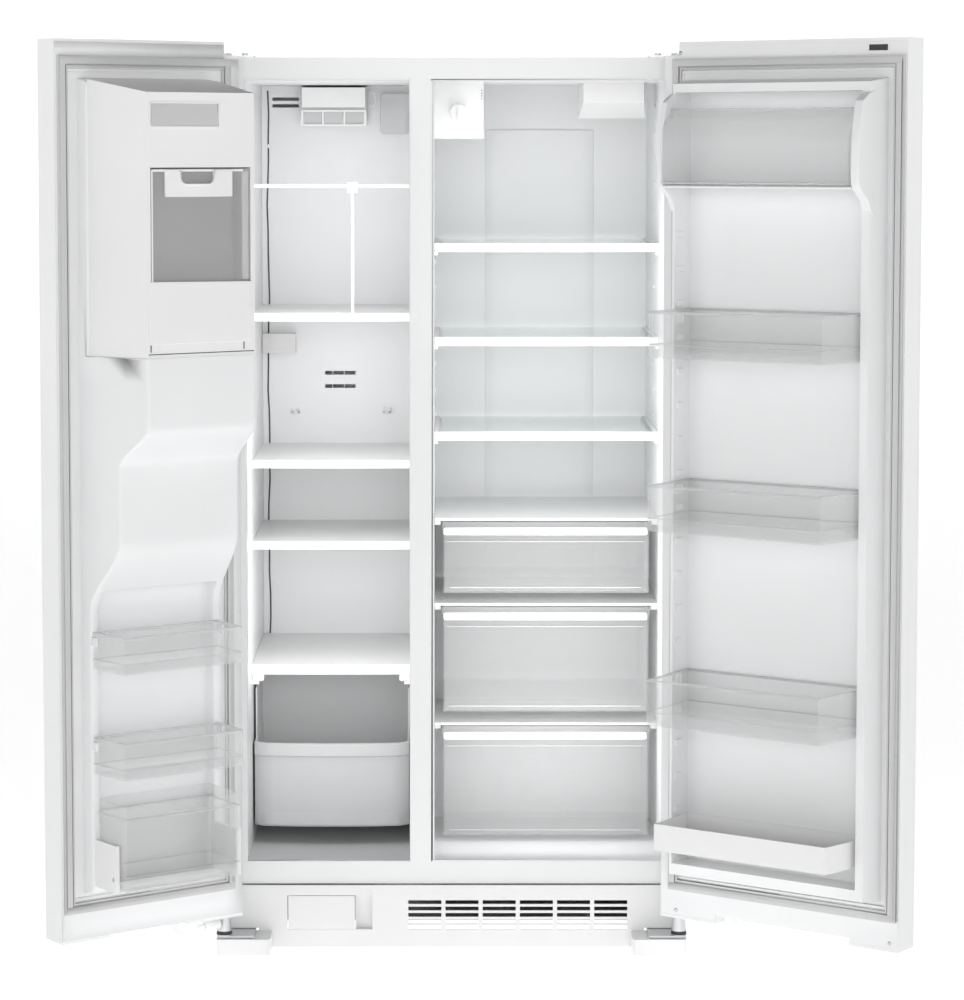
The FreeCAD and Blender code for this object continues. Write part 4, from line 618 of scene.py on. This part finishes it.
def freezer_compartment():
    """What shows on the air box, the cover at the back and the walls."""
    gap = Piece("cover_gap")
    wave = [(-383 + 1.5 * math.sin(i * 0.9) + 0.8 * math.sin(i * 2.3), 1675 - i * 48) for i in range(25)]
    gap.prism("y", [(x - 1.6, z) for x, z in wave] + [(x + 1.6, z) for x, z in reversed(wave)],
              FREEZER_BACK - 0.8, FREEZER_BACK + 0.4)
    gap.done("cabinet", "cabinet", "dark_line", "board_grey", bevel=0)
    grille = Piece("air_box_grille")
    frame_ring(grille, (-309, -176), (1601, 1634), (470, 476), 4)
    for k in (1, 2):
        x = -309 + 133 * k / 3
        grille.box((x - 2, x + 2), (470, 476), (1603, 1632))
    grille.done("cabinet", "cabinet", "white", "white_plastic", bevel=1.0)
    # Grey plates in the grille's windows: painted shade for the dark space behind the openings.
    shade = Piece("air_box_window_shade")
    for k in range(3):
        x = -305 + 125 * k / 3
        shade.box((x + 2, x + 38), (473.5, 475.6), (1605, 1630))
    shade.done("cabinet", "cabinet", "shade", "lamp_lens", bevel=0.5)
    hook = Piece("air_box_hook")
    hook_line = [(-171, 1672), (-158, 1668), (-156, 1652), (-162, 1643), (-170, 1646)]
    hook.tube([(x, 500, z) for x, z in hook_line], 2.2, 8)
    hook.done("cabinet", "cabinet", "white", "white_plastic", bevel=0)
    duct = Piece("freezer_duct_cover")
    duct.prism("y", rounded(-148, -86, 1585, 1669, 8), FREEZER_BACK - 18, FREEZER_BACK)
    duct.done("cabinet", "cabinet", "frost", "lamp_lens", bevel=2.0)
    bits = Piece("freezer_clips")
    for x in (-327, -136):
        for x0, x1, high in ((x - 8, x + 8, 1006), (x - 8, x - 4, 1013), (x + 4, x + 8, 1013)):
            bits.box((x0, x1), (FREEZER_BACK - 8, FREEZER_BACK), (1002, high))
    bits.done("cabinet", "cabinet", "white", "white_plastic", bevel=0.6)
    pins = Piece("freezer_screws")
    for x, z in ((-373, 600), (-88, 585), (-380, 1560), (-92, 1100)):
        pins.rod("y", 4.5, (x, FREEZER_BACK - 2, z), 1.6, None, 16)
    pins.done("cabinet", "cabinet", "white", "white_plastic", bevel=0.4)
    ledges = Piece("freezer_wall_lugs")
    for z in (1230, 938, 776, 535):
        for x0, x1 in ((-396, -388), (-88, -80)):
            ledges.box((x0, x1), (196, 230), (z - 14, z - 5))
            ledges.box((x0, x1), (440, 470), (z - 14, z - 5))
    ledges.done("cabinet", "cabinet", "liner", "white_liner", bevel=1.5)
    caps = Piece("basket_shelf_ends")
    for a, b in ((-396, -372), (-104, -80)):
        caps.box((a, b), (150, 196), (500, 534))
    caps.done("cabinet", "cabinet", "white", "white_plastic", bevel=4.0, segments=3)


def basket_bin():
    """White bin with a bowed front and a rolled band."""
    rows = []
    for z, out in ((208, 10), (216, 4), (240, 1), (300, 0), (350, -1), (353, -7), (376, -8), (378, -3)):
        ring = []
        for i in range(17):
            t = -1 + 2 * i / 16
            bow = 10 * (1 - t * t) - (14 * max(0.0, abs(t) - 0.9) / 0.1)
            ring.append((BASKET_X + BASKET_HALF * t, 149 + out - bow, z))
        ring += [(BASKET_X + BASKET_HALF, BASKET_BACK, z), (BASKET_X - BASKET_HALF, BASKET_BACK, z)]
        rows.append(ring)
    basket = Piece("freezer_basket_bin")
    basket.loft(rows, caps=False)
    shrink = 0.972
    inner_rows = [[(BASKET_X + (x - BASKET_X) * shrink, BASKET_BACK - (BASKET_BACK - y) * shrink - 3, z)
                   for x, y, _ in rows[-1]] for z in (378, 213)]
    basket.loft([rows[-1], inner_rows[0], inner_rows[1]], caps=False)
    basket.mesh.faces.new([basket.mesh.verts.new(p) for p in rows[0]][::-1])
    basket.mesh.faces.new([basket.mesh.verts.new(p) for p in inner_rows[1]])
    x0, x1 = BASKET_X - BASKET_HALF, BASKET_X + BASKET_HALF
    for side in ((x0, x0 + 3), (x1 - 3, x1)):
        basket.box(side, (200, BASKET_BACK), (376, 480))
    basket.box((x0, x1), (BASKET_BACK - 3, BASKET_BACK), (376, 480))
    # The basket's darker grained white is partly painted shade.
    basket.done("cabinet", "freezer_basket", "grained_and_shaded", "clear_plastic", bevel=1.5, segments=3,
                replaces=("freezer_basket",))


def fresh_food_compartment():
    """Duct cover, wall lugs, the drawers' bands and the control's marks."""
    duct = Piece("rear_duct_cover")
    section = [(70, 610), (80, 607), (94, 605.5), (185, 605), (276, 605.5), (290, 607), (300, 610)]
    duct.loft([[(x, y, z) for x, y in section] for z in (640, 650, 1560, 1594)], closed=True)
    duct.done("cabinet", "cabinet", "liner", "white_liner", bevel=2.0, replaces=("duct_panel",))
    lugs = Piece("fridge_wall_lugs")
    for z in (1367, 1181, 993):
        for x0, x1 in ((-34, -27), (403, 410)):
            lugs.box((x0, x1), (176, 214), (z - 22, z - 14))
            lugs.box((x0, x1), (470, 500), (z - 22, z - 14))
    for k in range(14):
        z = 960 + k * 52
        for x0, x1 in ((-34, -31.5), (407.5, 410)):
            lugs.box((x0, x1), (330, 346), (z, z + 8))
    lugs.done("cabinet", "cabinet", "liner", "white_liner", bevel=1.5)
    for name, z0, z1, low in (("upper", 790, 805, 674), ("middle", 620, 635, 436), ("lower", 380, 395, 186)):
        band = Piece(name + "_drawer_band")
        band.prism("y", rounded(-16, 389, z0, z1, 5), 166.5, 174)
        band.done("cabinet", name + "_drawer", "white", "white_plastic", bevel=1.5)
        rim = Piece(name + "_drawer_ribs")
        rim.box((-8, 381), (DRAWER_FRONT, DRAWER_FRONT + 1.7), (z0 - 14, z0 - 12.5))
        rim.box((-4, 377), (DRAWER_FRONT, DRAWER_FRONT + 1.7), (low + 10, low + 12))
        rim.done("cabinet", name + "_drawer", "rim", "clear_plastic", bevel=0.5)
    dial = Piece("control_dial_marks")
    for k in range(4):
        dial.rod("y", 1.3, (59.5, 169.0, 1652 + 5.4 * k), 1.4, None, 10)
    dial.done("cabinet", "cabinet", "grey", "board_grey", bevel=0)


def breaker_strips():
    """Strips round both openings."""
    strip = Piece("breaker_strips")
    for x in ((-402, -76), (-38, 416)):
        frame_ring(strip, x, (168, 1690), (-0.1, 6), 5)
    strip.done("cabinet", "cabinet", "liner", "white_liner", bevel=1.5)


def hinges_and_water_line():
    """Hinge bushes and the water line's coupling."""
    bush = Piece("hinge_bushes")
    for sx in (-1, 1):
        bush.rod("z", 15.6, (sx * PIVOT_X, PIVOT_Y, 42), 17.6, 11.8, 24)
        bush.rod("z", 13.0, (sx * PIVOT_X, PIVOT_Y, 59.4), 2.2, 12.4, 24)
    bush.done("cabinet", "cabinet", "black", "board_grey", bevel=0.6)
    line = Piece("water_coupling")
    line.rod("x", 8.5, (fz(34), -41, 66), 34, None, 20)
    line.rod("x", 6.0, (fz(68), -41, 66), 14, None, 20)
    line.rod("z", 5.0, (fz(40), -41, 62), 12, None, 16)
    line.done("freezer_door", "freezer_door", "white", "white_plastic", bevel=1.2)


def dispenser():
    """Dispenser's display and keys."""
    glass = Piece("dispenser_display")
    glass.prism("y", rounded(fz(290), fz(100), 1152, 1216, 5)[::-1], DOOR_FACE - 0.2, DOOR_FACE + 1.4)
    glass.done("freezer_door", "freezer_door", "black_paint", "board_grey", bevel=0.6)
    keys = Piece("dispenser_keys")
    for k in range(5):
        x = fz(124 + k * 35.5)
        keys.prism("y", rounded(x - 12, x + 12, 1160, 1172, 3), DOOR_FACE - 1.2, DOOR_FACE)
    keys.rod("y", 6, (fz(195), DOOR_FACE - 1.0, 1198), 1.0, None, 24)
    keys.done("freezer_door", "freezer_door", "grey", "board_grey", bevel=0.4)


def cabinet_back():
    """Panel and cover screws and the inlet's pins."""
    backs = Piece("back_screws")
    for x in (-430, -215, 0, 215, 430):
        for z in (372, 1040, 1712):
            backs.rod("y", 5, (x, BACK_FACE, z), 2.1, 4.0, 16)
    for x in (-410, 0, 410):
        backs.rod("y", 4.5, (x, BACK_FACE + 0.1, 330), 2.0, 4.0, 16)
    backs.done("cabinet", "cabinet", "screw", "zinc_steel", bevel=0)
    prongs = Piece("inlet_pins")
    for x, z in ((356, 98), (374, 98), (365, 110)):
        prongs.box((x - 1.2, x + 1.2), (712, 719), (z - 3, z + 3))
    prongs.done("cabinet", "cabinet", "screw", "zinc_steel", bevel=0.3)


door_seals()
door_ends()
ice_module()
freezer_door_liner()
liner_emboss()
door_bins()
rib_lugs()
dairy_compartment()
freezer_compartment()
basket_bin()
fresh_food_compartment()
breaker_strips()
hinges_and_water_line()
dispenser()
cabinet_back()


# ---------------------------------------------------------------------------------------------
# Stage
# ---------------------------------------------------------------------------------------------
def pale_stage():
    """Pale floor whose rim bends up into a round backdrop."""
    pale = material("pale_floor", (0.94, 0.94, 0.94), 0.6, tint=0.004, rough_spread=0.02, grain=0.05,
                    grain_scale=60.0)
    glow = pale.node_tree.nodes["Principled BSDF"]
    glow.inputs["Emission Color"].default_value = (1.0, 1.0, 1.0, 1)
    glow.inputs["Emission Strength"].default_value = 0.7
    reach, tall, bend, around, steps = 24.0, 9.0, 4.0, 64, 12
    below = 0.0006
    profile = [(0.2, 0.0), (6.0, 0.0), (reach - bend, 0.0)]
    for i in range(1, steps + 1):
        a = math.pi / 2 * i / steps
        profile.append((reach - bend + bend * math.sin(a), bend - bend * math.cos(a)))
    profile.append((reach, tall))
    turns = [2 * math.pi * k / around for k in range(around)]
    points = [(r * math.cos(turn), r * math.sin(turn), z - below) for r, z in profile for turn in turns]
    faces = [tuple(range(around))]
    for i in range(len(profile) - 1):
        for k in range(around):
            after = (k + 1) % around
            faces.append(((i + 1) * around + k, (i + 1) * around + after, i * around + after, i * around + k))
    mesh = bpy.data.meshes.new("floor")
    mesh.from_pydata(points, [], faces)
    mesh.materials.append(pale)
    mesh.shade_smooth()
    floor = bpy.data.objects.new("floor", mesh)
    bpy.context.scene.collection.objects.link(floor)


def studio_world():
    """Weak even light from all round."""
    world = bpy.data.worlds.new("studio")
    bpy.context.scene.world = world
    world.use_nodes = True
    world.node_tree.nodes["Background"].inputs["Color"].default_value = (1.0, 1.0, 1.0, 1)
    world.node_tree.nodes["Background"].inputs["Strength"].default_value = 0.06


def rectangle_light(name, size, power):
    """Soft rectangular light, not yet placed."""
    data = bpy.data.lights.new(name, "AREA")
    data.shape = "RECTANGLE"
    data.size, data.size_y = size
    data.energy = power
    light = bpy.data.objects.new(name, data)
    bpy.context.scene.collection.objects.link(light)
    return light


def studio_light(name, place, target, size, power):
    """Studio light aimed at a point."""
    light = rectangle_light(name, size, power)
    light.location = place
    light.rotation_euler = (Vector(target) - Vector(place)).to_track_quat("-Z", "Y").to_euler()


def inside_light(name, mid_x, mid_z, size, power):
    """Light in the plane of an opening that shines into the compartment and isn't seen itself."""
    light = rectangle_light(name, size, power)
    light.location = ORIGIN + Vector((mid_x * MM, 0.03, mid_z))
    light.rotation_euler = (math.pi / 2, 0.0, 0.0)
    light.visible_camera = False
    light.visible_glossy = False


def front_camera():
    """Camera in front, looking slightly down."""
    data = bpy.data.cameras.new("camera")
    data.sensor_width = 36.0
    data.lens = 114.5
    data.shift_x = 0.0305
    data.shift_y = -0.1
    data.clip_end = 60.0
    camera = bpy.data.objects.new("camera", data)
    camera.location = ORIGIN + Vector((0.0, -6.1, 1.549))
    camera.rotation_euler = (math.pi / 2 - math.radians(4.47), 0.0, 0.0)
    bpy.context.scene.collection.objects.link(camera)
    bpy.context.scene.camera = camera


pale_stage()
studio_world()
studio_light("key_front", (0.0, -6.4, 1.7), (0, 0, 1.0), (2.4, 1.8), 38)
studio_light("fill_left", (-3.4, -3.0, 1.6), (-0.2, 0.2, 0.9), (1.6, 2.6), 9)
studio_light("fill_right", (3.4, -3.0, 1.6), (0.2, 0.2, 0.9), (1.6, 2.6), 9)
studio_light("top", (0.0, -0.6, 4.2), (0, 0.1, 0.0), (3.0, 2.0), 12)
inside_light("inside_freezer", -238.0, 1.03, (0.28, 1.12), 1.9)
inside_light("inside_fresh_food", 188.0, 0.88, (0.4, 1.3), 3.1)
front_camera()
bpy.context.scene.view_settings.view_transform = "Standard"
